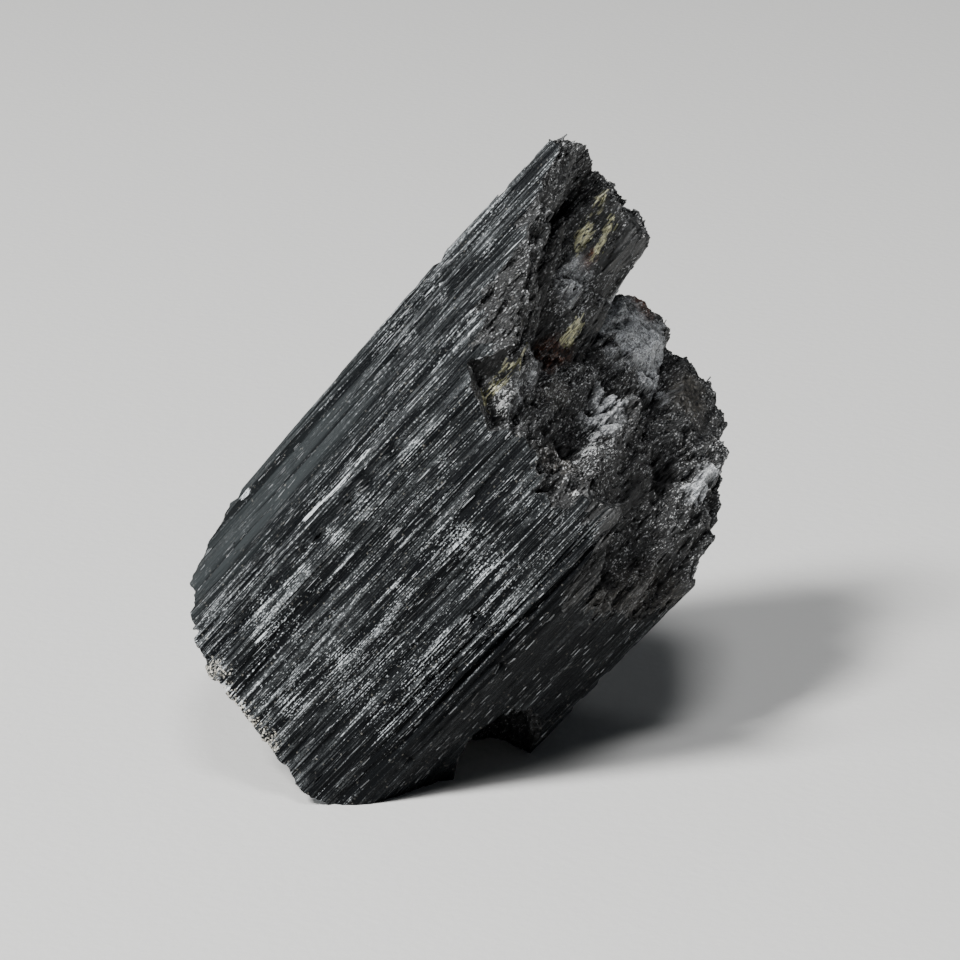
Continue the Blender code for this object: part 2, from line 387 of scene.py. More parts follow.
def ribbedStone():
    look = ribbedLook
    material, tree, shader = newMaterial("ribbedStone")
    at = useGroup(tree, "space")["Vector"]
    parts = addNode(tree, "ShaderNodeSeparateXYZ", {0: at}).outputs
    along = {0: mask(tree, "girth"), 1: times(parts[0], 0.08), 2: parts[2]}
    along = addNode(tree, "ShaderNodeCombineXYZ", along).outputs[0]
    broad, hairs, slashes, swathes = [streaks(tree, along, *sizes) for sizes in look["streaks"]]
    salt = grains(tree, at, *look["salt"])
    satin, paintedShadeSide, paintedGlintPatch = [mask(tree, name) for name in ("satin", "paintedShadeSide", "paintedGlintPatch")]
    # painted light and shade: lighter on the crests, darker in the hollows
    crestLightHollowShade = remap(mask(tree, "bulge"), -0.05, 0.07)

    # lighter grey in swathes, where the painted glints gather too, over hairlines of a lighter grey
    greyAndGlintSwathes = times(
        remap(mottling(tree, at, look["mottleScale"]), 0.44, 0.68), remap(swathes, 0.38, 0.60, 0.35, 1.35)
    )
    lines = remap(plus(hairs, times(broad, 0.8)), 0.84, 1.14)
    tone = times(lines, between(salt["Tone"], 0.1, 1.3), between(greyAndGlintSwathes, 0.55, 1.35))
    # painted shade: the lower front face, which lies in shade, is made much darker
    tone = times(tone, between(crestLightHollowShade, 0.2, 1.3), between(paintedShadeSide, 1.0, 0.12))
    colour = mixColour(tree, tone, look["black"], look["grey"])
    bands = remap(plus(broad, times(slashes, 0.5)), 0.62, 0.86, 0.15, 1.0)
    colour = mixColour(tree, times(satin, bands), colour, look["satin"])

    # glints: hairlines, single specks and short slashes
    lit = plus(times(hairs, 1.2), times(greyAndGlintSwathes, 0.115), times(salt["Spread"], 0.28), times(crestLightHollowShade, 0.08))
    # more painted glints in the marked patches
    lit = plus(lit, times(paintedGlintPatch, 0.06))
    glints = times(remap(lit, 1.0, 1.12), between(salt["Tone"], 0.2, 1.3))
    specks = plus(times(salt["Tone"], 0.96), times(greyAndGlintSwathes, 0.065), times(paintedGlintPatch, 0.04))
    specks = times(remap(specks, 0.95, 1.0), between(salt["Spread"], 0.1, 0.6))
    slashes = remap(plus(slashes, times(hairs, 0.35)), 0.90, 0.94)
    glints = math2("MAXIMUM", math2("MAXIMUM", glints, specks), times(slashes, 0.7))
    glints = times(glints, between(satin, 1.0, 0.15), between(paintedShadeSide, 1.0, 0.10))
    glints = times(glints, between(mask(tree, "smooth"), 1.0, 0.15))
    # painted highlights: whitish streaks set where highlights fall, added to the glints
    glints = math2("MAXIMUM", glints, strandMask(tree, "paintedHighlight", hairs, salt["Tone"], 0.76))
    colour = mixColour(tree, glints, colour, look["glint"])
    crust = speckled(times(mask(tree, "crust"), 0.75), grains(tree, at, *look["crumbs"]))
    colour = mixColour(tree, crust, colour, look["crust"])

    rough = math2("MAXIMUM", between(salt["Spread"], *look["roughness"]), times(satin, 0.5))
    height = times(plus(hairs, times(salt["Height"], 0.22), broad), between(satin, 1.0, 0.35))
    finishShader(tree, shader, look, colour, rough, height)
    return material


def brokenStone():
    look = brokenLook
    material, tree, shader = newMaterial("brokenStone")
    at = useGroup(tree, "space")["Vector"]
    grain = grains(tree, at, *look["grain"])
    tiny = grains(tree, at, *look["tiny"])
    hackles = streaks(tree, at, *look["hackles"])
    planks = streaks(tree, at, *look["planks"])
    planked, bulge, smooth, paintedLitPatch = [
        mask(tree, name) for name in ("planked", "bulge", "smooth", "paintedLitPatch")
    ]
    fibres = addNode(
        tree, "ShaderNodeMix", {0: planked, 2: hackles, 3: planks}, data_type="FLOAT"
    ).outputs[0]
    patches = mottling(tree, at, look["mottleScale"])
    # painted light and shade: lighter on the crests, darker in the hollows
    crestLightHollowShade = remap(bulge, -0.10, 0.12)

    # strands of grey, in patches, with painted light along the crests and painted shade in the hollows
    strands = remap(plus(fibres, times(grain["Tone"], 0.3)), 0.52, 0.86)
    tone = times(strands, remap(patches, 0.36, 0.66, 0.25, 1.2), between(crestLightHollowShade, 0.12, 1.3))
    # painted light: nearly twice as bright in the patches where light falls
    tone = times(tone, between(math2("POWER", tiny["Tone"], 2.0), 0.15, 2.2), between(paintedLitPatch, 1.0, 1.9))
    tone = plus(tone, times(planked, remap(planks, 0.50, 0.66, 0.0, 1.0)))
    colour = mixColour(tree, tone, look["black"], look["grey"])
    for name in ("tan", "rust"):
        share = times(mask(tree, name), between(strands, 0.15, 1.0), tiny["Tone"])
        colour = mixColour(tree, share, colour, look[name])

    # a dusting of many greys that is partly painted light, then whitish grains as painted highlights, and
    # painted shade: black in the crevices
    share = times(
        mask(tree, "dustAndPaintedLight"), remap(patches, 0.38, 0.56, 0.85, 1.15), between(grain["Tone"], 0.55, 1.25)
    )
    share = times(share, between(crestLightHollowShade, 0.55, 1.25))
    dustAndLitGreys = mixColour(tree, math2("POWER", tiny["Tone"], 0.9), look["dull"], look["dustAndPaintedLight"])
    colour = mixColour(tree, between(share, 0.0, 1.0), colour, dustAndLitGreys)
    # painted highlights: whitish grains along the marked streaks
    share = times(mask(tree, "paintedHighlight"), remap(hackles, 0.36, 0.60, 0.5, 1.5), between(crestLightHollowShade, 0.25, 1.3))
    colour = mixColour(tree, speckled(share, tiny), colour, look["paintedHighlight"])
    # painted shade: black where the surface dips into crevices
    colour = mixColour(tree, remap(bulge, -0.22, -0.06), look["black"], colour)

    # mica in stripes, the crust in crumbs, sparkles, and painted shade in the groove and the pits
    flecks = times(math2("POWER", tiny["Tone"], 1.6), between(crestLightHollowShade, 0.4, 1.5))
    share = times(stripedMask(tree, "mica", planks, 0.42), remap(flecks, 0.0, 0.8, 0.6, 1.4))
    share = times(share, remap(hackles, 0.36, 0.56, 0.45, 1.2))
    colour = mixColour(tree, share, colour, look["mica"])
    crust = speckled(times(mask(tree, "crust"), 0.75), grains(tree, at, *look["crumbs"]))
    colour = mixColour(tree, crust, colour, look["crust"])
    bright = plus(tiny["Tone"], times(strands, 0.10), times(crestLightHollowShade, 0.06), times(paintedLitPatch, strands, 0.20))
    sparkles = times(
        remap(bright, 0.935, 1.03), between(tiny["Spread"], 0.1, 1.0), between(smooth, 1.0, 0.1)
    )
    # painted light: more sparkles in the brightened patches, fewer on the shaded lower front face
    sparkles = times(sparkles, between(paintedLitPatch, 0.75, 1.0), between(mask(tree, "paintedShadeSide"), 1.0, 0.4))
    colour = mixColour(tree, sparkles, colour, look["sparkle"])
    # painted shade: near-black over the groove between slab and spur and over the pits
    colour = mixColour(tree, times(mask(tree, "paintedRecessShade"), 0.93), colour, look["black"])

    height = plus(grain["Height"], times(tiny["Height"], 0.35), times(fibres, 1.8))
    height = times(height, between(smooth, 1.0, 0.35))
    finishShader(tree, shader, look, colour, between(grain["Tone"], *look["roughness"]), height)
    return material


grainLooks = {
    "mica": dict(dark=(0.09, 0.09, 0.03), light=(1.0, 0.98, 0.72), roughness=(0.18, 0.40), specular=0.8),
    # slivers in pale grey, standing in for glints: painted highlights
    "paintedGlintSliver": dict(
        dark=(0.008, 0.009, 0.010), light=(0.45, 0.47, 0.49), roughness=(0.16, 0.40), specular=0.6
    ),
    "crust": dict(dark=(0.03, 0.03, 0.028), light=(0.80, 0.76, 0.66), roughness=(0.30, 0.70), specular=0.6),
}


def grainStone(name, dark, light, roughness, specular):
    # small pieces, each with a tone of its own
    material, tree, shader = newMaterial(name + "Stone")
    at = useGroup(tree, "space")["Vector"]
    each = grains(tree, at, 0.5, 1.5)
    fine = grains(tree, at, 0.09, 2.0)
    tone = times(math2("POWER", each["Tone"], 2.2), between(fine["Tone"], 0.5, 1.0))
    tree.links.new(mixColour(tree, tone, dark, light), shader.inputs["Base Color"])
    tree.links.new(between(each["Spread"], *roughness), shader.inputs["Roughness"])
    shader.inputs["Specular IOR Level"].default_value = specular
    bump = addNode(
        tree, "ShaderNodeBump", {"Strength": 0.6, "Distance": 0.05 * mm, "Height": fine["Height"]}
    )
    tree.links.new(bump.outputs[0], shader.inputs["Normal"])
    return material


stone = {"ribbed": ribbedStone(), "broken": brokenStone()}
scatterLooks = {**stone, **{name: grainStone(name, **look) for name, look in grainLooks.items()}}
print("materials made")


# ---- the ribbed prism

prism = {
    "corners": [
        (0, -20.5), (17.3, -10.8), (18.3, 6.8), (16.8, 12.0), (1.5, 20.7), (-16.5, 11.0), (-17.5, -9.5)
    ],
    "columnWidths": [0.22, 0.2, 0.2, 0.22, 0.36, 0.4, 0.36],
    "bottom": -36.0,
    "top": 36.0,
    "rowHeight": 0.95,
    "taper": 0.0021,
    "taperTop": 13.0,
    "rounding": [1.2, 5.0, 1.0, 1.0, 1.0, 1.5, 1.5],  # how far from each corner its edge is worn round
    "ribDepth": 0.42,
    "ribWidth": 2.6,
    "ribLength": 34.0,
    "stepDepth": 0.16,
    "stepSize": (1.1, 26.0),
    "bevelSide": 2,
    "bevelRibs": {"depth": 0.34, "spacing": 1.15, "wander": 0.35, "start": -26.0},
    "chips": {"depth": 0.75, "length": 1.9, "reach": 1.3},
}


def wornRound(corners, side, start, edge, reach, along):
    # the side's points, pulled in towards the corners by an average over the worn width
    ring = np.array(corners + corners[:1], float)
    lengths = np.hypot(*np.diff(ring, axis=0).T)
    marks = np.concatenate([[0.0], np.cumsum(lengths)])
    place = marks[side] + along
    wear = np.zeros_like(along)
    for corner, width in enumerate(prism["rounding"]):
        away = np.abs((place - marks[corner] + marks[-1] / 2) % marks[-1] - marks[-1] / 2)
        wear = np.maximum(wear, width - away)
    total = 0.0
    for share in np.linspace(-1.0, 1.0, 9):
        spot = (place + share * np.maximum(wear, 0.0)) % marks[-1]
        total = total + np.stack([np.interp(spot, marks, ring[:, n]) for n in range(2)], axis=-1)
    return total / 9.0


def prismPoints(heights):
    # one ring of points for each height, stacked
    rings = []
    corners = prism["corners"]
    depth, width, length = prism["ribDepth"], prism["ribWidth"], prism["ribLength"]
    for side, start in enumerate(corners):
        start = np.array(start, float)
        edge = np.array(corners[(side + 1) % len(corners)]) - start
        reach = float(np.hypot(*edge))
        outward = np.array([edge[1], -edge[0]]) / reach
        columns = round(reach / prism["columnWidths"][side])
        along = reach * np.arange(columns)[None, :] / columns
        ends = np.minimum(1.0, np.minimum(along, reach - along) / width + 0.25)
        z = heights[:, None]
        out = depth * noiseAt(along, 7.3 * side * width, z, (width, width, length))
        finer = (width / 2.3, width / 2.3, length / 2.3)
        out = out + 0.5 * depth * noiseAt(along, 7.3 * side * width, z, finer)
        out = out + prism["stepDepth"] * columnAt(along + 50.0 * side, z, prism["stepSize"], 4.0)
        if side == prism["bevelSide"]:
            ribs = prism["bevelRibs"]
            place = (
                along / ribs["spacing"]
                + ribs["wander"] * noiseAt(along, 3.0, z, (4.0, 1.0, 16.0), seed=51.0)
            )
            grown = np.clip((z - ribs["start"]) / 6.0, 0.0, 1.0)
            out = out + grown * ribs["depth"] * (2.0 * np.abs(np.sin(np.pi * place)) ** 0.7 - 1.0)
        out = ends * out
        for corner, away in ((side, along), ((side + 1) % len(corners), reach - along)):
            chips = prism["chips"]
            bite = noiseAt(z, 10.0 * corner, 0.0, (chips["length"], 1.0, 1.0), seed=61.0)
            bite = np.clip(
                2.2 * bite + noiseAt(z, along, corner, (0.8, 0.8, 1.0), seed=62.0) - 0.25, 0.0, 1.0
            )
            out = out - chips["depth"] * bite * np.clip(1.0 - away / chips["reach"], 0.0, 1.0)
        flat = wornRound(corners, side, start, edge, reach, along)
        rings.append(flat + outward * out[..., None])
    ring = np.concatenate(rings, axis=1)
    drawnIn = 1.0 - prism["taper"] * np.maximum(0.0, prism["taperTop"] - heights)[:, None]
    ring[..., 1] = np.where(ring[..., 1] < 0, ring[..., 1] * drawnIn, ring[..., 1])
    z = np.broadcast_to(heights[:, None], ring.shape[:2])
    return np.concatenate([ring, z[..., None]], axis=2)


def makePrism():
    rows = round((prism["top"] - prism["bottom"]) / prism["rowHeight"])
    heights = np.linspace(prism["bottom"], prism["top"], rows + 1)
    points = prismPoints(heights)
    count = points.shape[1]
    faces = [
        (
            row * count + c,
            row * count + (c + 1) % count,
            (row + 1) * count + (c + 1) % count,
            (row + 1) * count + c,
        )
        for row in range(rows)
        for c in range(count)
    ]
    faces.append(tuple(range(count))[::-1])
    faces.append(tuple(range(rows * count, (rows + 1) * count)))
    return newPiece("crystal", points.reshape(-1, 3), faces)


# ---- the breaks

topBreak = {
    "height": 13.0,
    "fallToFront": 0.33,
    "fallToSide": 0.25,
    "farSide": 8.0,
    "relief": 0.45,
    "ragged": 0.22,  # how far the forms' edges wander
    "plank": 0.5,  # how far the planks in a steep wall stand out of it
    "columnStep": 0.38,
    "columnWidth": (1.5, 0.8),
    "cell": 0.2,
    "reach": 23.0,
    "shelfHeight": 21.5,
    "shelfFalls": (0.64, 0.93),
    "shelfEdge": ((12.6, 10.2), (-2.0, 19.4)),
    "shelfStep": 3.0,
    "terraces": {"width": 3.4, "depth": 1.5, "wander": 1.5},
    "calm": [
        (-11.4, -1.0, 4.6),
        (-13.0, 7.2, 3.0),
        (-4.4, -5.4, 2.4),
        (-6.0, -9.0, 3.6),
        (3.0, -16.0, 3.0),
        (17.0, 7.6, 2.2),
    ],
}

# a crest is a line of points x, y, height, flat for half its width, that falls by so much a
# millimetre on its left and on its right
crests = {
    "slabFront": dict(
        line=[(16, -7.8, 17.0), (13.5, -9.6, 18.6), (9.5, -12.8, 21.2), (7.5, -14.2, 24.5)],
        half=0.5,
        falls=(2.8, 6.0),
    ),
    "slabEdge": dict(
        line=[(7.5, -14.2, 24.5), (5.5, -15.6, 27.5), (4.2, -16.6, 30.0)], half=0.5, falls=(2.8, 6.0)
    ),
    "slabTop": dict(
        line=[(3.8, -17.4, 30.0), (0.4, -19.6, 29.2), (-4, -17.0, 29.2), (-8, -13.8, 27.4)],
        half=1.1,
        falls=(5.0, 2.0),
    ),
    "spur": dict(line=[(-6.6, -12.8, 27.8), (-7.2, -8.5, 27.4)], half=2.0, falls=(5.0, 6.0)),
    "spurBack": dict(line=[(-7, -11, 27), (-14.5, -8.8, 21.5)], half=2.2, falls=(3.5, 3.0)),
    "middleBlock": dict(line=[(-1.5, -10.5, 19.4), (-4.0, -7.2, 20.0)], half=2.0, falls=(3.0, 3.0)),
    "notchBack": dict(line=[(12.5, -8.6, 15.0), (9.5, -6.8, 14.0)], half=1.2, falls=(1.8, 1.8)),
    "greyLump": dict(line=[(-8, -1.2, 17.0), (-15.5, -1.4, 20.0)], half=2.6, falls=(1.3, 1.3)),
    "backLump": dict(line=[(-15.5, 6.5, 17.6), (-12.6, 11.5, 16.0)], half=1.6, falls=(1.4, 1.4)),
    "longRidge": dict(line=[(14.5, 4.2, 9.8), (1, 3.7, 15.0), (-6, 2.4, 17.0)], half=1.1, falls=(1.6, 1.5)),
    "leftRidge": dict(
        line=[(10, -2.6, 11.2), (6, -3.0, 13.0), (0.5, -1.3, 15.0)], half=0.8, falls=(1.3, 1.3)
    ),
    "rightRidge": dict(line=[(-9, 13.4, 16.6), (5, 14.2, 11.6)], half=0.8, falls=(4.0, 1.6)),
    "cornerKnob": dict(line=[(16.8, 6.2, 9.4), (16.2, 9.0, 10.4)], half=1.0, falls=(2.5, 5.0)),
    "shelfCorner": dict(line=[(-2.4, 18.8, 10.6), (0.6, 20.2, 6.4)], half=0.8, falls=(2.2, 2.2)),
    "rimBump": dict(line=[(17.4, -5.6, 8.9), (17.0, -0.6, 9.4)], half=1.2, falls=(1.0, 1.0)),
}

# a pit is a floor line of points x, y, height, flat for half its width, that rises at its sides
pits = {
    "frontHollow": dict(line=[(14.5, 1.0, 6.8), (12.5, 2.0, 7.6)], half=1.2, rise=1.0),
    "longPit": dict(line=[(8.6, 2.2, 7.4), (6.4, 1.9, 9.0)], half=0.7, rise=1.6),
    "cleft": dict(line=[(-0.6, 1.0, 11.6), (-3.4, 1.2, 13.0)], half=0.5, rise=2.0),
    "backCrack": dict(
        line=[(-15.4, 2.8, 16.8), (-13.8, 4.2, 15.2), (-8.6, 6.0, 13.2), (-5.0, 5.4, 11.6)],
        half=0.35,
        rise=1.9,
    ),
    "upperPit": dict(line=[(-4.6, 5.6, 11.4), (-6.4, 6.0, 12.2)], half=1.0, rise=1.5),
    "rightPit": dict(line=[(-0.6, 10.8, 9.8), (-2.4, 11.0, 10.6)], half=0.8, rise=1.5),
    "lowerPit": dict(line=[(8.6, 8.8, 6.8), (5.0, 9.6, 8.0)], half=0.9, rise=1.5),
    "stepPit": dict(line=[(9.4, 13.0, 0.2), (6.8, 13.8, 1.6)], half=0.8, rise=1.6),
    "slabGroove": dict(
        line=[(-5.0, -14.6, 22.4), (0.0, -14.5, 20.6), (3.6, -13.8, 18.4), (5.7, -11.8, 15.4)],
        half=0.3,
        rise=4.5,
    ),
}

footBreak = {
    "height": -29.8,
    "fall": 0.1,
    "relief": 0.9,
    "cell": 0.38,
    "reach": 23.0,
    "lip": dict(place=(17.0, -5.6), reach=7.0, depth=0.6),
    "toe": dict(place=(17.8, 3.4), reach=5.5, depth=0.9),
    "chip": dict(place=(18.6, 3.3), reach=1.0, depth=-1.6),
}

# rough blocks broken out of the sides: centre, size, turn about x, y and z, and relief
sideBreaks = {
    "notch": dict(centre=(18.4, -5.6, 12.9), size=(8.8, 7, 9), turn=(-25, 0, 0), relief=0.5, cell=0.3),
    "footBevel": dict(centre=(0.0, -27.2, -27.0), size=(60, 20, 44), turn=(16, 0, 0), relief=0.7, cell=0.5),
    "edgeStep": dict(
        centre=(20.4, 7.9, 8.0), size=(6, 3.4, 40), turn=(0, -2.2, 16), relief=0.4, cell=0.25, ribbed=True
    ),
    "backStep": dict(
        centre=(-19.7, -4.0, 4.0), size=(6, 9, 54), turn=(0, 2.2, -2), relief=0.4, cell=0.4, ribbed=True
    ),
}

# the arched hollow under the lower front edge, in the upright frame, from the axis's middle
hollow = dict(centre=(-0.7, -11.0, -25.2), radii=(4.7, 8.5, 7.5), turn=(0, 12, 12), relief=0.8)


def nearLine(line, x, y):
    # the line's height at its point nearest to x, y, the distance to it, and if x, y is on its left
    found = None
    for start, end in zip(line, line[1:]):
        runX, runY = end[0] - start[0], end[1] - start[1]
        awayX, awayY = x - start[0], y - start[1]
        share = np.clip((awayX * runX + awayY * runY) / (runX**2 + runY**2), 0.0, 1.0)
        distance = np.hypot(awayX - share * runX, awayY - share * runY)
        part = (start[2] + share * (end[2] - start[2]), distance, runX * awayY - runY * awayX > 0)
        if found is None:
            found = part
        else:
            closer = distance < found[1]
            found = tuple(np.where(closer, new, old) for new, old in zip(part, found))
    return found


def shelfHeight(x, y):
    (startX, startY), (endX, endY) = topBreak["shelfEdge"]
    edge = np.array([endX - startX, endY - startY])
    edge = edge / np.hypot(*edge)
    behind = np.maximum(0.0, -((x - startX) * edge[1] - (y - startY) * edge[0]))
    falls = topBreak["shelfFalls"]
    return topBreak["shelfHeight"] - falls[0] * x - falls[1] * y + topBreak["shelfStep"] * behind


def hackle(x, y):
    return noiseAt(x, y, 0.0, (4.6, 1.9, 1.0)) + 0.6 * noiseAt(x, y, 0.0, (2.1, 1.1, 1.0), seed=5.0)


def terraceHeight(x, y):
    # broken steps that rise towards the front and drop off there
    steps = topBreak["terraces"]
    place = x / steps["width"] + steps["wander"] * noiseAt(x, y, 0.0, (7.0, 2.6, 1.0), seed=71.0)
    depth = steps["depth"] * np.clip(0.65 + 1.2 * noiseAt(x, y, 0.0, (6.0, 4.0, 1.0), seed=73.0), 0.1, 1.3)
    return depth * (np.mod(place, 1.0) - 0.5) * np.clip((x + 15.0) / 8.0, 0.25, 1.0)


def calmShare(x, y):
    # 1 over most of the break, less over its few smooth faces
    share = np.ones(np.shape(x))
    for spotX, spotY, reach in topBreak["calm"]:
        away = np.hypot(x - spotX, y - spotY) / reach
        share = np.minimum(share, np.clip(1.6 * away - 0.4, 0.2, 1.0))
    return share


def topHeight(x, y):
    ragged, plank = topBreak["ragged"], topBreak["plank"]
    a = (
        x + ragged * noiseAt(x, y, 0.0, (0.9, 0.9, 1.0), seed=31.0)
        + plank * columnAt(x, y, (2.4, 0.9), 41.0)
    )
    b = (
        y + ragged * noiseAt(x, y, 0.0, (0.9, 0.9, 1.0), seed=37.0)
        + plank * columnAt(x, y, (0.9, 2.4), 47.0)
    )
    height = topBreak["height"] - topBreak["fallToFront"] * a
    height = height - topBreak["fallToSide"] * np.maximum(0.0, b - topBreak["farSide"])
    height = np.minimum(height, shelfHeight(a, b))
    for crest in crests.values():
        top, distance, onLeft = nearLine(crest["line"], a, b)
        fall = np.where(onLeft, crest["falls"][0], crest["falls"][1])
        height = np.maximum(height, top - fall * np.maximum(0.0, distance - crest["half"]))
    for pit in pits.values():
        floor, distance, _ = nearLine(pit["line"], a, b)
        height = np.minimum(height, floor + pit["rise"] * np.maximum(0.0, distance - pit["half"]))
    columns = columnAt(x, y, topBreak["columnWidth"], 2.0) + 0.5 * columnAt(x, y, (0.75, 0.45), 6.0)
    columns = columns * topBreak["columnStep"] * np.clip((x + 15.0) / 8.0, 0.45, 1.0)
    rough = topBreak["relief"] * hackle(x, y) + columns + terraceHeight(a, b)
    return height + calmShare(x, y) * rough


def footHeight(x, y):
    swell = noiseAt(x, y, 20.0, (7.0, 6.0, 1.0))
    columns = columnAt(x, y, (1.6, 1.1), 12.0)
    height = (
        footBreak["height"] - footBreak["fall"] * y + footBreak["relief"] * (swell + 0.5 * hackle(y, x))
        + 0.3 * columns
    )
    for name in ("lip", "toe", "chip"):
        spot = footBreak[name]
        away = np.hypot(x - spot["place"][0], y - spot["place"][1])
        height = height - spot["depth"] * np.clip(1.4 * (1.0 - away / spot["reach"]), 0.0, 1.0)
    return height


def breakAcross(name, sizes, heightAt, far):
    # a cutter with one rough face across the axis, pulled out to far
    bm = bmesh.new()
    cells = round(2 * sizes["reach"] / sizes["cell"])
    bmesh.ops.create_grid(bm, x_segments=cells, y_segments=cells, size=sizes["reach"])
    flat = np.array([vert.co[:2] for vert in bm.verts])
    for vert, z in zip(bm.verts, heightAt(flat[:, 0], flat[:, 1])):
        vert.co.z = z
    bmesh.ops.triangulate(bm, faces=bm.faces)
    pulled = bmesh.ops.extrude_face_region(bm, geom=bm.faces[:])
    for item in pulled["geom"]:
        if isinstance(item, bmesh.types.BMVert):
            item.co.z = far
    return pieceFrom(bm, name)


def pieceFrom(bm, name, ribbed=False):
    bmesh.ops.triangulate(bm, faces=bm.faces)
    bmesh.ops.recalc_face_normals(bm, faces=bm.faces)
    mesh = bpy.data.meshes.new(name)
    for face in bm.faces:
        face.material_index = 0 if ribbed else 1
    bm.to_mesh(mesh)
    bm.free()
    sortMesh(mesh)
    for material in stone.values():
        mesh.materials.append(material)
    piece = bpy.data.objects.new(name, mesh)
    bpy.context.scene.collection.objects.link(piece)
    return piece


def roughen(bm, place, relief, outward, ribbed=False):
    # puts bm in place, then breaks up its faces with a slow swell and hackles along the axis
    spin = place.to_3x3()
    normals = [(spin @ Vector(outward(vert.co))).normalized() for vert in bm.verts]
    bm.transform(place)
    moved = []
    length = 12.0 if ribbed else 1.0
    for vert, normal in zip(bm.verts, normals):
        p = vert.co
        slow = noise.noise_vector(p / 9.0) * relief * 0.8
        slow += noise.noise_vector(Vector((p.x / 1.7, p.y / 1.7, p.z / 1.7 / length))) * relief * 0.35
        fine = noise.noise(Vector((p.x / 3.1, p.y / 3.1, p.z / 8.0 / length))) * relief * 0.6
        fine += noise.noise(Vector((p.x / 0.8, p.y / 0.8, p.z / 3.0 / length))) * relief * 0.5
        moved.append(p + slow + normal * fine)
    for vert, point in zip(bm.verts, moved):
        vert.co = point


def turned(degrees):
    spins = [Matrix.Rotation(math.radians(d), 4, axis) for d, axis in zip(degrees, "XYZ")]
    return spins[2] @ spins[1] @ spins[0]


def roughBlock(name, centre, size, turn, relief, cell, ribbed=False):
    bm = bmesh.new()
    for axis in range(3):
        across = [(axis + 1) % 3, (axis + 2) % 3]
        cells = [max(1, round(size[n] / cell)) for n in across]
        for end in (-0.5, 0.5):
            made = bmesh.ops.create_grid(bm, x_segments=cells[0], y_segments=cells[1], size=0.5)
            for vert in made["verts"]:
                u, v = vert.co.x, vert.co.y
                spot = [0.0, 0.0, 0.0]
                spot[axis] = end * size[axis]
                spot[across[0]] = u * size[across[0]]
                spot[across[1]] = v * size[across[1]]
                vert.co = [round(number, 4) for number in spot]
    bmesh.ops.remove_doubles(bm, verts=bm.verts, dist=cell * 0.05)
    bmesh.ops.recalc_face_normals(bm, faces=bm.faces)

    def outward(spot):
        return [
            round(2.001 * number / length - 0.5 * math.copysign(1.0, number))
            for number, length in zip(spot, size)
        ]

    roughen(bm, Matrix.Translation(centre) @ turned(turn), relief, outward, ribbed)
    return pieceFrom(bm, name, ribbed)


def hollowCutter():
    bm = bmesh.new()
    bmesh.ops.create_icosphere(
        bm, subdivisions=6, radius=1.0, matrix=Matrix.Diagonal((*hollow["radii"], 1.0))
    )

    def outward(spot):
        return [number / radius**2 for number, radius in zip(spot, hollow["radii"])]

    roughen(bm, Matrix.Translation(hollow["centre"]) @ turned(hollow["turn"]), hollow["relief"], outward)
    bm.transform(turnMatrix().inverted())  # from the upright frame to the crystal's own
    return pieceFrom(bm, "hollowCutter")


def floorCutter():
    bm = bmesh.new()
    bmesh.ops.create_cube(bm, size=0.12, matrix=Matrix.Translation((0, 0, -0.06)))
    bm.transform(standingMatrix().inverted())
    return pieceFrom(bm, "floorCutter")


def refineBreaks(piece, longest, rounds):
    # halves the long edges that steep walls leave between a break's points
    bm = bmesh.new()
    bm.from_mesh(piece.data)
    bmesh.ops.triangulate(bm, faces=bm.faces)
    for _ in range(rounds):
        tooLong = [
            edge
            for edge in bm.edges
            if all(face.material_index == 1 for face in edge.link_faces) and edge.calc_length() > longest
        ]
        bmesh.ops.subdivide_edges(bm, edges=tooLong, cuts=1)
        bmesh.ops.triangulate(bm, faces=bm.faces)
    bm.to_mesh(piece.data)
    bm.free()


crystal = makePrism()
print("prism:", len(crystal.data.polygons), "faces")
cutters = [
    breakAcross("topCutter", topBreak, topHeight, 2 * prism["top"]),
    breakAcross("footCutter", footBreak, footHeight, 2 * prism["bottom"]),
]
cutters += [roughBlock(name + "Cutter", **sizes) for name, sizes in sideBreaks.items()]
cutters += [hollowCutter(), floorCutter()]
print("cutters made")
cutAway(crystal, cutters)
print("cut:", len(crystal.data.polygons), "faces")
refineBreaks(crystal, longest=0.55, rounds=3)
sortMesh(crystal.data)
print("refined:", len(crystal.data.polygons), "faces")


# ---- fine relief over the whole crystal

relief = {
    "Rib Depth": 0.25,
    "Rib Width": 0.55,
    "Rib Length": 16.0,
    "Grain Depth": 0.42,
    "Grain Size": 0.7,
}


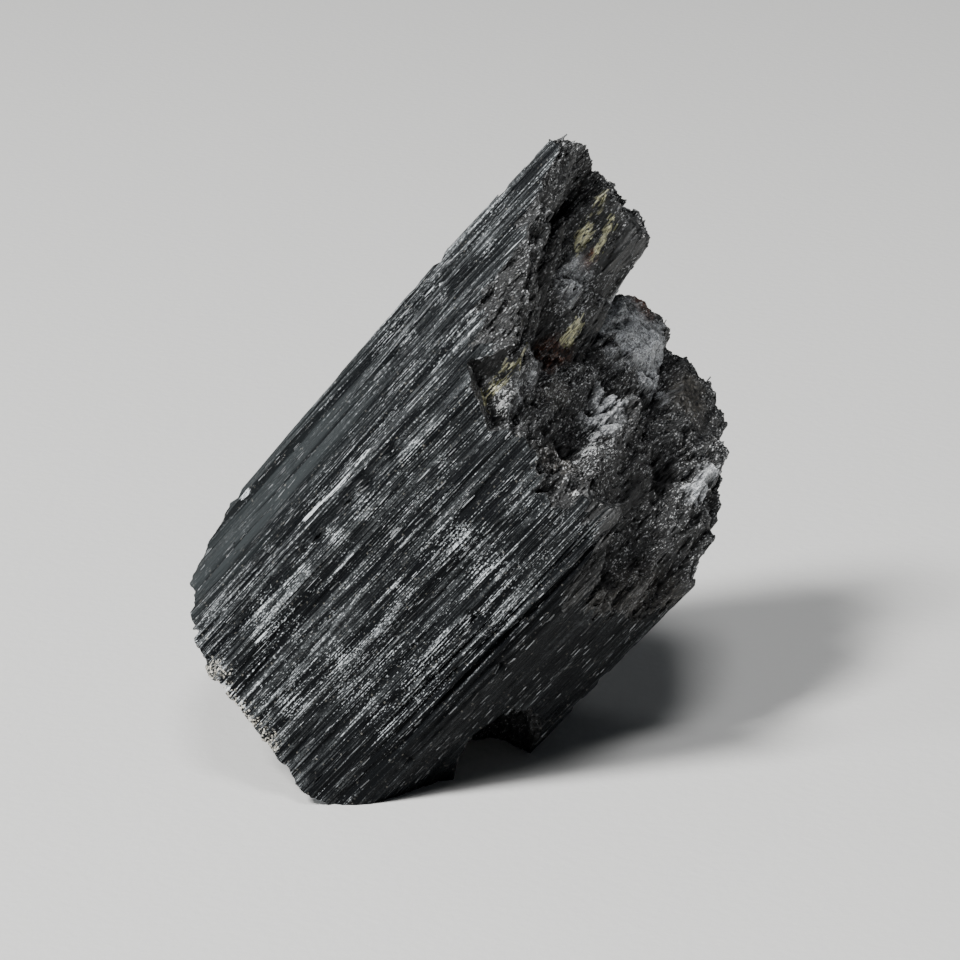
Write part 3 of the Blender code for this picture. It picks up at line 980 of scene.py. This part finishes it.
def reliefTree():
    inputs = {"Geometry": ("Geometry", None)}
    inputs.update({name: ("Float", value) for name, value in relief.items()})
    inputs.update({"Ribbed Material": ("Material", None), "Broken Material": ("Material", None)})
    tree, given, out = newTree("stoneRelief", "GeometryNodeTree", inputs, {"Geometry": ("Geometry", None)})
    place = addNode(tree, "GeometryNodeInputPosition").outputs[0]
    outward = addNode(tree, "GeometryNodeInputNormal").outputs[0]

    def stored(name):
        return addNode(
            tree, "GeometryNodeInputNamedAttribute", {"Name": name}, data_type="FLOAT"
        ).outputs[0]

    broken = times(stored("broken"), math2("SUBTRACT", 1.0, stored("planked")))

    def noiseOf(width, length, scale, detail, kind):
        size = addNode(tree, "ShaderNodeCombineXYZ", {0: width, 1: width, 2: length})
        scaled = addNode(tree, "ShaderNodeVectorMath", {0: place, 1: size.outputs[0]}, operation="DIVIDE")
        inputs = {"Vector": scaled.outputs[0], "Scale": scale, "Detail": detail, "Roughness": 0.6}
        return math2(
            "SUBTRACT", addNode(tree, "ShaderNodeTexNoise", inputs, noise_type=kind).outputs[0], 0.5
        )

    ribs = noiseOf(given["Rib Width"], given["Rib Length"], 1.0, 3.0, "FBM")
    ribs = times(ribs, given["Rib Depth"])
    grains = noiseOf(given["Grain Size"], times(given["Grain Size"], 6.0), 1.0, 4.0, "FBM")
    grains = times(grains, given["Grain Depth"])
    share = addNode(tree, "ShaderNodeMix", {0: broken, 2: ribs, 3: grains}, data_type="FLOAT").outputs[0]
    share = times(share, remap(stored("smooth"), 0.0, 1.0, 1.0, 0.25))
    offset = addNode(
        tree, "ShaderNodeVectorMath", {0: outward, "Scale": times(share, 2.0)}, operation="SCALE"
    )
    moved = addNode(
        tree, "GeometryNodeSetPosition", {"Geometry": given["Geometry"], "Offset": offset.outputs[0]}
    )

    blurred = addNode(tree, "GeometryNodeBlurAttribute", {"Iterations": 6}, data_type="FLOAT_VECTOR")
    tree.links.new(place, [socket for socket in blurred.inputs if socket.type == "VECTOR"][0])
    smooth = [socket for socket in blurred.outputs if socket.enabled][0]
    away = addNode(tree, "ShaderNodeVectorMath", {0: place, 1: smooth}, operation="SUBTRACT")
    bulge = addNode(tree, "ShaderNodeVectorMath", {0: away.outputs[0], 1: outward}, operation="DOT_PRODUCT")
    kept = addNode(
        tree, "GeometryNodeStoreNamedAttribute", {
            "Geometry": moved.outputs[0], "Name": "bulge"
        }, data_type="FLOAT", domain="POINT"
    )
    tree.links.new(bulge.outputs["Value"], [socket for socket in kept.inputs if socket.type == "VALUE"][0])

    whole = addNode(tree, "GeometryNodeRealizeInstances", {"Geometry": kept.outputs[0]})
    faces = addNode(tree, "GeometryNodeInputMaterialIndex").outputs[0]
    isBroken = addNode(
        tree, "FunctionNodeCompare", {2: faces, 3: 1}, data_type="INT", operation="EQUAL"
    ).outputs[0]
    ribbed = addNode(
        tree,
        "GeometryNodeSetMaterial",
        {"Geometry": whole.outputs[0], "Material": given["Ribbed Material"]},
    )
    ribbed.inputs["Selection"].default_value = True
    tree.links.new(
        addNode(tree, "FunctionNodeBooleanMath", {0: isBroken}, operation="NOT").outputs[0],
        ribbed.inputs["Selection"],
    )
    rough = addNode(
        tree,
        "GeometryNodeSetMaterial",
        {"Geometry": ribbed.outputs[0], "Material": given["Broken Material"]},
    )
    tree.links.new(isBroken, rough.inputs["Selection"])
    tree.links.new(rough.outputs[0], out["Geometry"])
    return tree


def pointAttribute(piece, name, values):
    stored = piece.data.attributes.get(name) or piece.data.attributes.new(name, "FLOAT", "POINT")
    stored.data.foreach_set("value", np.asarray(values, np.float32))


def pointsOf(piece):
    flat = np.empty(len(piece.data.vertices) * 3, np.float32)
    piece.data.vertices.foreach_get("co", flat)
    return flat.reshape(-1, 3).astype(float)


def readAttribute(piece, name):
    values = np.empty(len(piece.data.vertices), np.float32)
    piece.data.attributes[name].data.foreach_get("value", values)
    return values.astype(float)


def brokenShare(piece):
    # for each point, the share of the faces round it that belong to a break
    mesh = piece.data
    loops = np.empty(len(mesh.loops), np.int32)
    mesh.loops.foreach_get("vertex_index", loops)
    sides = np.empty(len(mesh.polygons), np.int32)
    mesh.polygons.foreach_get("loop_total", sides)
    kinds = np.empty(len(mesh.polygons), np.int32)
    mesh.polygons.foreach_get("material_index", kinds)
    perLoop = np.repeat(kinds, sides)
    total = np.bincount(loops, weights=perLoop, minlength=len(mesh.vertices))
    return total / np.maximum(1, np.bincount(loops, minlength=len(mesh.vertices)))


# ---- marks on the stone, and where loose grains sit

# a mark lies along a line of points and reaches so far from it; past that it fades out over soft
marks = {
    "mica": [
        dict(
            line=[(14.6, -7.1, 8.5), (13.9, -7.25, 10.6), (14.0, -7.35, 12.5), (12.9, -7.5, 14.4)],
            reach=0.36,
            soft=0.3,
        ),
        dict(line=[(-4.4, -12.8, 27.2), (-3.9, -11.6, 23.8), (-3.2, -10.9, 22.0)], reach=-0.3, soft=1.3),
        dict(line=[(-4.7, -10.5, 26.6), (-4.1, -9.7, 23.8), (-3.6, -9.2, 22.4)], reach=-0.2, soft=0.8),
        dict(line=[(-0.9, -5.7, 15.2), (-1.2, -5.3, 17.0)], reach=0.6, soft=0.5),
    ],
    # painted highlights: whitish streaks and flecks set where highlights fall
    "paintedHighlight": [
        dict(line=[(17.2, -7.2, -29.3), (17.6, -3.0, -29.6)], reach=0.15, soft=0.7),
        dict(line=[(14.5, -11.7, -12.7), (15.1, -11.5, -6.0)], reach=0.28, soft=0.3),
        dict(line=[(14.6, -11.7, -5.2), (14.6, -11.8, -2.6)], reach=0.16, soft=0.3),
        dict(line=[(2.6, -18.2, -18.6), (2.6, -18.2, -18.1)], reach=0.4, soft=0.3),
        dict(line=[(3.6, -18.2, 11.4), (3.6, -18.2, 11.8)], reach=0.35, soft=0.3),
        dict(line=[(3.0, -18.5, 9.0), (3.1, -18.5, 10.9)], reach=0.14, soft=0.3),
        dict(line=[(17.8, 2.5, -16.7), (17.8, 2.7, -11.0)], reach=0.14, soft=0.35),
        dict(line=[(17.5, -6.8, -24.3), (17.6, -6.8, -22.2)], reach=0.08, soft=0.3),
        dict(line=[(17.7, -4.9, -23.2), (17.7, -4.8, -22.8)], reach=0.22, soft=0.25),
        dict(line=[(13.7, -5.6, 9.2), (13.9, -5.5, 10.3), (13.1, -5.4, 11.4)], reach=0.2, soft=0.7),
        dict(line=[(14.0, -6.2, 10.4), (12.7, -6.4, 13.3)], reach=0.14, soft=0.35),
        dict(line=[(7.9, 3.6, 9.4), (6.8, 3.4, 10.5), (4.8, 3.1, 11.6)], reach=0.1, soft=1.1),
        dict(line=[(4.0, 3.0, 12.0), (2.8, 2.7, 13.9)], reach=-0.3, soft=1.2),
        dict(line=[(17.2, 5.2, 9.0), (17.0, 4.6, 9.2)], reach=0.2, soft=0.5),
        dict(line=[(-0.6, 13.4, 12.3), (-3.9, 13.1, 12.9)], reach=-0.25, soft=1.1),
    ],
    # a dusting that is partly painted light: the lump and ridges are made near white where light falls
    "dustAndPaintedLight": [
        dict(line=[(-2.9, -9.8, 20.6), (-0.3, -8.6, 19.2)], reach=-0.3, soft=2.2),
        dict(line=[(-10.6, -3.6, 18.4), (-11.0, -0.6, 18.0), (-10.4, 1.6, 17.4)], reach=2.6, soft=2.4),
        dict(line=[(-4.0, -0.6, 17.4), (4.0, 2.6, 13.0)], reach=0.4, soft=1.8),
        dict(line=[(13.4, -4.6, 10.2), (10.4, -5.4, 13.2)], reach=-0.5, soft=1.6),
        dict(line=[(-1.2, 14.4, 13.4), (-4.0, 14.0, 15.4)], reach=0.3, soft=1.6),
    ],
    "rust": [
        dict(line=[(0.6, -5.9, 12.6), (-0.4, -5.6, 13.8)], reach=0.8, soft=1.3),
        dict(line=[(-15.6, -3.4, 20.5), (-14.6, -1.6, 20.2)], reach=0.4, soft=0.9),
        dict(line=[(-3.6, -9.6, 22.4), (-2.2, -8.8, 20.8)], reach=0.3, soft=0.7),
        dict(line=[(17.3, 4.8, 9.0), (17.2, 5.2, 9.1)], reach=0.15, soft=0.3),
    ],
    "tan": [
        dict(line=[(-13.5, 6.8, 17.3), (-12.0, 8.4, 16.4)], reach=1.6, soft=1.4),
        dict(line=[(11.8, 13.7, 2.3), (2.5, 18.0, 3.4)], reach=1.6, soft=2.2),
        dict(line=[(11.6, 1.6, 7.8), (10.4, 2.4, 8.4)], reach=1.2, soft=1.2),
        dict(line=[(8.0, -2.8, 12.2), (6.6, -2.2, 12.6)], reach=0.9, soft=1.4),
    ],
    "smooth": [
        dict(line=[(-13.5, 6.8, 17.3), (-12.4, 7.4, 16.6)], reach=1.6, soft=0.9),
        dict(line=[(-5.0, -6.0, 19.4), (-3.6, -4.6, 17.0)], reach=1.2, soft=0.9),
        dict(line=[(17.0, 6.6, 9.4), (17.0, 9.0, 9.6)], reach=1.2, soft=0.9),
        dict(line=[(-12.6, -1.6, 19.2), (-12.2, 1.4, 18.4)], reach=1.0, soft=1.4),
        dict(line=[(2.6, -16.6, 27.0), (0.6, -17.4, 28.2)], reach=0.6, soft=0.6),
        dict(line=[(17.8, 4.6, -28.6), (17.9, 8.2, -26.6)], reach=1.9, soft=1.2),
        dict(line=[(-6.2, -8.4, 27.3), (-5.7, -7.6, 26.6), (-5.2, -7.8, 23.0)], reach=1.1, soft=0.6),
    ],
    "planked": [
        dict(line=[(7.0, -13.6, 22.0), (3.0, -15.6, 27.0), (-1.0, -17.0, 28.0)], reach=1.8, soft=1.0),
        dict(line=[(-5.0, -11.0, 26.0), (-4.0, -10.4, 21.0)], reach=2.6, soft=1.0),
        dict(line=[(-7.0, -8.0, 26.0), (-7.0, -8.0, 20.0)], reach=2.4, soft=1.0),
        dict(line=[(14.6, -7.4, 9.4), (12.0, -7.2, 13.6)], reach=1.8, soft=0.8),
    ],
    # painted shade: the groove between slab and spur and the pits, made near-black
    "paintedRecessShade": [
        dict(
            line=[(3.2, -17.0, 27.5), (8.6, -15.3, 21.2), (11.9, -13.3, 17.0), (14.6, -11.2, 14.1)],
            reach=-0.9,
            soft=1.9,
        ),
        dict(
            line=[(-3.7, -14.9, 26.6), (0.0, -14.6, 24.8), (3.6, -14.0, 23.2), (5.7, -12.2, 19.4)],
            reach=0.7,
            soft=0.8,
        ),
        dict(line=[(5.7, -12.2, 19.4), (3.0, -9.6, 17.0), (1.2, -7.8, 14.6)], reach=0.3, soft=0.8),
        dict(line=[(5.5, 2.7, 9.0), (7.4, 2.2, 8.4)], reach=0.7, soft=0.9),
        dict(line=[(-4.1, 1.9, 13.2), (-8.8, 5.1, 13.8)], reach=0.7, soft=0.9),
        dict(line=[(-4.6, 11.1, 11.6), (3.1, 9.6, 9.0)], reach=0.8, soft=1.1),
        dict(line=[(9.4, 13.0, 0.6), (6.8, 13.8, 1.8)], reach=0.7, soft=0.9),
    ],
    # painted light: patches of the break made brighter and more sparkling where light falls on them
    "paintedLitPatch": [
        dict(line=[(-9.0, -2.5, 17.5), (-1.5, -8.5, 19.0)], reach=1.6, soft=2.2),
        dict(line=[(-6.0, 2.0, 15.4), (8.0, 3.6, 9.6)], reach=1.6, soft=2.2),
        dict(line=[(8.0, -2.6, 12.0), (2.0, -3.0, 14.0)], reach=1.4, soft=1.8),
        dict(line=[(13.5, -6.0, 10.0), (11.0, -6.5, 13.0)], reach=1.2, soft=1.2),
        dict(line=[(-2.0, 14.0, 13.0), (-9.0, 13.0, 16.0)], reach=0.8, soft=1.8),
    ],
    # painted highlights: patches where the glints gather
    "paintedGlintPatch": [
        dict(line=[(18.1, 0.1, -1.1), (18.0, 3.4, -1.1)], reach=0.8, soft=1.4),
        dict(line=[(18.0, -1.8, -3.8), (18.0, 3.7, -2.9)], reach=0.6, soft=1.4),
        dict(line=[(16.0, -9.8, -21.3), (17.6, -4.1, -21.8)], reach=1.0, soft=2.0),
        dict(line=[(17.6, -3.0, -25.0), (17.9, 2.0, -19.0), (17.9, 5.5, -12.0)], reach=1.4, soft=2.4),
        dict(line=[(17.9, 7.2, -20.0), (17.9, 7.4, 2.0)], reach=0.7, soft=1.2),
        dict(line=[(13.6, -12.4, 8.0), (12.6, -13.2, 15.0)], reach=0.5, soft=1.6),
        dict(line=[(3.0, -18.6, 4.0), (2.0, -19.0, 20.0)], reach=0.8, soft=2.0),
    ],
    "crust": [
        dict(
            line=[(17.2, -8.8, -29.9), (17.6, -4.8, -30.1), (18.0, -1.2, -30.1), (18.0, 1.2, -30.2)],
            reach=0.35,
            soft=0.6,
        ),
        dict(line=[(12.4, -13.2, -28.0), (16.6, -10.8, -28.6), (17.4, -7.0, -28.8)], reach=0.2, soft=0.5),
    ],
}


def girthOf(x, y):
    # how far round the prism a point lies, measured both ways from the corner at the back right
    ring = np.array(prism["corners"] + prism["corners"][:1], float)
    edges = np.diff(ring, axis=0)
    lengths = np.hypot(*edges.T)
    starts = np.concatenate([[0.0], np.cumsum(lengths)])
    nearest = np.full(x.shape, np.inf)
    mark = np.zeros(x.shape)
    for start, edge, length, before in zip(ring, edges, lengths, starts):
        along = np.clip(((x - start[0]) * edge[0] + (y - start[1]) * edge[1]) / length, 0.0, length)
        gap = np.hypot(x - start[0] - along * edge[0] / length, y - start[1] - along * edge[1] / length)
        mark = np.where(gap < nearest, before + along, mark)
        nearest = np.minimum(nearest, gap)
    away = np.abs(mark - starts[4])
    return np.minimum(away, starts[-1] - away)


def lineDistance(points, line):
    found = None
    for start, end in zip(line, line[1:]):
        start, run = np.array(start, float), np.subtract(end, start)
        share = np.clip((points - start) @ run / (run @ run), 0.0, 1.0)
        away = np.linalg.norm(points - start - share[:, None] * run, axis=1)
        found = away if found is None else np.minimum(found, away)
    return found


def markMask(points, strokes):
    # 1 on a mark's line, 0 beyond it, with a ragged edge
    ragged = noiseAt(points[:, 0], points[:, 1], points[:, 2], (0.9, 0.9, 1.8), seed=11.0)
    ragged += 0.5 * noiseAt(points[:, 0], points[:, 1], points[:, 2], (0.4, 0.4, 0.8), seed=12.0)
    total = np.zeros(len(points))
    for stroke in strokes:
        away = lineDistance(points, stroke["line"]) - stroke["reach"]
        total = np.maximum(
            total, 1.0 - away / stroke["soft"] + 0.5 * ragged * (away > -stroke["reach"] * 0.6)
        )
    return np.clip(total, 0.0, 1.0)


pointAttribute(crystal, "broken", brokenShare(crystal))
for name, strokes in marks.items():
    pointAttribute(crystal, name, markMask(pointsOf(crystal), strokes))
addModifier(
    crystal,
    reliefTree(),
    {**relief, "Ribbed Material": stone["ribbed"], "Broken Material": stone["broken"]},
)
bakeModifiers(crystal)
print("relief:", len(crystal.data.polygons), "faces")
x, y, z = pointsOf(crystal).T
pointAttribute(crystal, "girth", girthOf(x, y))
pointAttribute(
    crystal,
    "satin",
    np.clip((12.6 - x) / 4.0, 0.0, 1.0) * np.clip((4.0 - z) / 14.0, 0.0, 1.0) * (y < -12.0),
)
# painted shade: 1 on the lower front face, which lies in shade, where the stone is made darker and carries
# fewer glints
pointAttribute(crystal, "paintedShadeSide", np.clip(0.5 * x + 0.87 * y - 17.0, 0.0, 1.0))
print("marks set")


# ---- loose grains, mica flakes, slivers and crust, scattered over the crystal

scatter = {
    "splinters": dict(
        mask="grit", density=2.4, size=(0.46, 0.22, 0.16), smallest=0.3, tilt=0.2, uneven=0.06, seed=3,
        look="broken",
    ),
    "micaFlakes": dict(
        mask="mica", density=5.0, size=(1.5, 0.16, 0.05), smallest=0.35, tilt=0.22, uneven=0.04, seed=5,
        look="mica",
    ),
    "slivers": dict(
        mask="splintery", density=0.9, size=(1.3, 0.11, 0.10), smallest=0.25, tilt=0.05, uneven=0.03,
        seed=8, look="paintedGlintSliver",
    ),
    "crustGrains": dict(
        mask="crust", density=6.0, size=(0.27, 0.18, 0.09), smallest=0.3, tilt=0.8, uneven=0.06, seed=9,
        look="crust",
    ),
}


def scatterTree():
    inputs = {
        "Geometry": ("Geometry", None),
        "Mask": ("String", ""),
        "Density": ("Float", 1.0),
        "Size": ("Vector", (1.0, 1.0, 1.0)),
        "Smallest": ("Float", 0.4),
        "Tilt": ("Float", 0.2),
        "Uneven": ("Float", 0.05),
        "Seed": ("Int", 1),
        "Material": ("Material", None),
    }
    tree, given, out = newTree(
        "scatterOnStone", "GeometryNodeTree", inputs, {"Geometry": ("Geometry", None)}
    )
    share = addNode(
        tree, "GeometryNodeInputNamedAttribute", {"Name": given["Mask"]}, data_type="FLOAT"
    ).outputs[0]
    density = times(share, given["Density"])
    spots = addNode(
        tree, "GeometryNodeDistributePointsOnFaces", {
            "Mesh": given["Geometry"], "Density": density, "Seed": given["Seed"]
        }
    )
    along = addNode(
        tree,
        "FunctionNodeAlignRotationToVector",
        {"Rotation": spots.outputs["Rotation"], "Vector": (0.0, 0.0, 1.0)},
        axis="X",
        pivot_axis="Z",
    )
    low = times(given["Tilt"], -1.0)
    tip = addNode(
        tree,
        "FunctionNodeRandomValue",
        {0: low, 1: given["Tilt"], "Seed": given["Seed"]},
        data_type="FLOAT_VECTOR",
    )
    tip = addNode(tree, "FunctionNodeEulerToRotation", {0: tip.outputs[0]})
    turned = addNode(
        tree, "FunctionNodeRotateRotation", {0: along.outputs[0], 1: tip.outputs[0]}, rotation_space="LOCAL"
    )
    grow = addNode(
        tree,
        "FunctionNodeRandomValue",
        {2: given["Smallest"], 3: 1.0, "Seed": given["Seed"]},
        data_type="FLOAT",
    )
    size = addNode(
        tree, "ShaderNodeVectorMath", {0: given["Size"], "Scale": grow.outputs[1]}, operation="SCALE"
    )
    grain = addNode(tree, "GeometryNodeMeshCube")
    placed = addNode(
        tree,
        "GeometryNodeInstanceOnPoints",
        {
            "Points": spots.outputs["Points"],
            "Instance": grain.outputs["Mesh"],
            "Rotation": turned.outputs[0],
            "Scale": size.outputs[0],
        },
    )
    whole = addNode(tree, "GeometryNodeRealizeInstances", {"Geometry": placed.outputs[0]})
    chips = addNode(tree, "ShaderNodeTexNoise", {"Scale": 4.0, "Detail": 2.0})
    tree.links.new(addNode(tree, "GeometryNodeInputPosition").outputs[0], chips.inputs["Vector"])
    centred = addNode(
        tree, "ShaderNodeVectorMath", {0: chips.outputs["Color"], 1: (0.5, 0.5, 0.5)}, operation="SUBTRACT"
    )
    offset = addNode(
        tree,
        "ShaderNodeVectorMath",
        {0: centred.outputs[0], "Scale": times(given["Uneven"], 4.0)},
        operation="SCALE",
    )
    uneven = addNode(
        tree, "GeometryNodeSetPosition", {"Geometry": whole.outputs[0], "Offset": offset.outputs[0]}
    )
    finish = addNode(
        tree, "GeometryNodeSetMaterial", {"Geometry": uneven.outputs[0], "Material": given["Material"]}
    )
    tree.links.new(finish.outputs[0], out["Geometry"])
    return tree


def scatterMasks():
    points = pointsOf(crystal)
    x, y, z = points.T
    broken, smooth, mica = [readAttribute(crystal, name) for name in ("broken", "smooth", "mica")]
    clusters = np.clip(0.55 + 1.3 * noiseAt(x, y, z, (3.2, 3.2, 3.2), seed=21.0), 0.05, 1.0)
    onTop = np.where(z > 0.0, 1.0, 0.1)
    pointAttribute(crystal, "grit", broken * onTop * (1.0 - smooth) * (1.0 - mica) * clusters)
    bands = np.clip(1.8 * noiseAt(x, y, z, (3.0, 3.0, 9.0), seed=25.0) + 0.25, 0.0, 1.0)
    pointAttribute(crystal, "splintery", (1.0 - broken) * bands * np.clip((z + 28.2) / 1.5, 0.0, 1.0))


def scatterPiece(name, settings, tree):
    piece = bpy.data.objects.new(name, crystal.data.copy())
    bpy.context.scene.collection.objects.link(piece)
    values = {key.capitalize(): value for key, value in settings.items() if key not in ("look",)}
    addModifier(piece, tree, {**values, "Material": scatterLooks[settings["look"]]})
    bakeModifiers(piece)
    print(name, len(piece.data.polygons), "faces")
    return piece


scatterMasks()
oneScatterTree = scatterTree()
loosePieces = [scatterPiece(name, settings, oneScatterTree) for name, settings in scatter.items()]


def standUp(piece):
    piece.data.transform(standingMatrix())
    for vert in piece.data.vertices:
        vert.co.z = max(vert.co.z, 0.0)
    piece.data.update()
    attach(piece, "root")


for piece in [crystal] + loosePieces:
    standUp(piece)
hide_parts(node)


# ---- floor, light and camera

studio = {
    "floorSize": 6.0,
    "floorColour": (0.80, 0.80, 0.79),
    "world": (0.80, 0.87, 0.97),
    "worldStrength": 0.04,
}

# an area light: where it is from the crystal, its size in metres, its power and its colour
lights = {
    "key": dict(place=(-0.55, -0.47, 0.90), size=0.26, power=19.5, colour=(1.0, 0.99, 0.97)),
    "side": dict(place=(-0.62, -0.30, 0.28), size=0.12, power=1.4, colour=(0.95, 0.98, 1.0)),
    "top": dict(place=(0.06, -0.36, 1.02), size=0.30, power=5.0, colour=(1.0, 1.0, 1.0)),
    "back": dict(place=(-0.55, 0.60, 0.35), size=0.30, power=0.5, colour=(0.97, 0.99, 1.0)),
}

view = {
    "aim": (4.3, 0.07, 26.2),
    "azimuth": 0.0,
    "pitch": 20.0,
    "distance": 400.0,
    "lens": 150.0,
    "shift": (-23 / 960, 6.5 / 960),
}


def makeFloor():
    bm = bmesh.new()
    bmesh.ops.create_grid(bm, x_segments=1, y_segments=1, size=studio["floorSize"] / 2)
    mesh = bpy.data.meshes.new("floor")
    bm.to_mesh(mesh)
    bm.free()
    floor = bpy.data.objects.new("floor", mesh)
    bpy.context.scene.collection.objects.link(floor)
    material, tree, shader = newMaterial("paleFloor")
    shader.inputs["Base Color"].default_value = (*studio["floorColour"], 1.0)
    shader.inputs["Roughness"].default_value = 0.8
    at = addNode(tree, "ShaderNodeTexCoord").outputs["Object"]
    weave = addNode(tree, "ShaderNodeTexNoise", {"Vector": at, "Scale": 900.0, "Detail": 3.0}).outputs[0]
    bump = addNode(tree, "ShaderNodeBump", {"Strength": 0.3, "Distance": 0.0002, "Height": weave})
    tree.links.new(bump.outputs[0], shader.inputs["Normal"])
    mesh.materials.append(material)


def makeLights():
    middle = Vector(view["aim"]) * mm
    for name, light in lights.items():
        data = bpy.data.lights.new(name, "AREA")
        data.size = light["size"]
        data.energy = light["power"]
        data.color = light["colour"]
        lamp = bpy.data.objects.new(name, data)
        lamp.location = middle + Vector(light["place"])
        lamp.rotation_euler = Vector(light["place"]).to_track_quat("Z", "Y").to_euler()
        bpy.context.scene.collection.objects.link(lamp)
    world = bpy.data.worlds.new("studio")
    world.use_nodes = True
    world.node_tree.nodes["Background"].inputs["Color"].default_value = (*studio["world"], 1.0)
    world.node_tree.nodes["Background"].inputs["Strength"].default_value = studio["worldStrength"]
    bpy.context.scene.world = world


def makeCamera():
    data = bpy.data.cameras.new("camera")
    data.lens = view["lens"]
    data.sensor_width = 36.0
    data.shift_x, data.shift_y = view["shift"]
    data.clip_start = 0.01
    camera = bpy.data.objects.new("camera", data)
    camera.matrix_world = (
        Matrix.Translation(Vector(view["aim"]) * mm)
        @ Matrix.Rotation(math.radians(view["azimuth"]), 4, "Z")
        @ Matrix.Rotation(math.radians(90.0 - view["pitch"]), 4, "X")
        @ Matrix.Translation((0, 0, view["distance"] * mm))
    )
    bpy.context.scene.collection.objects.link(camera)
    bpy.context.scene.camera = camera


makeFloor()
makeLights()
makeCamera()
print("studio made")
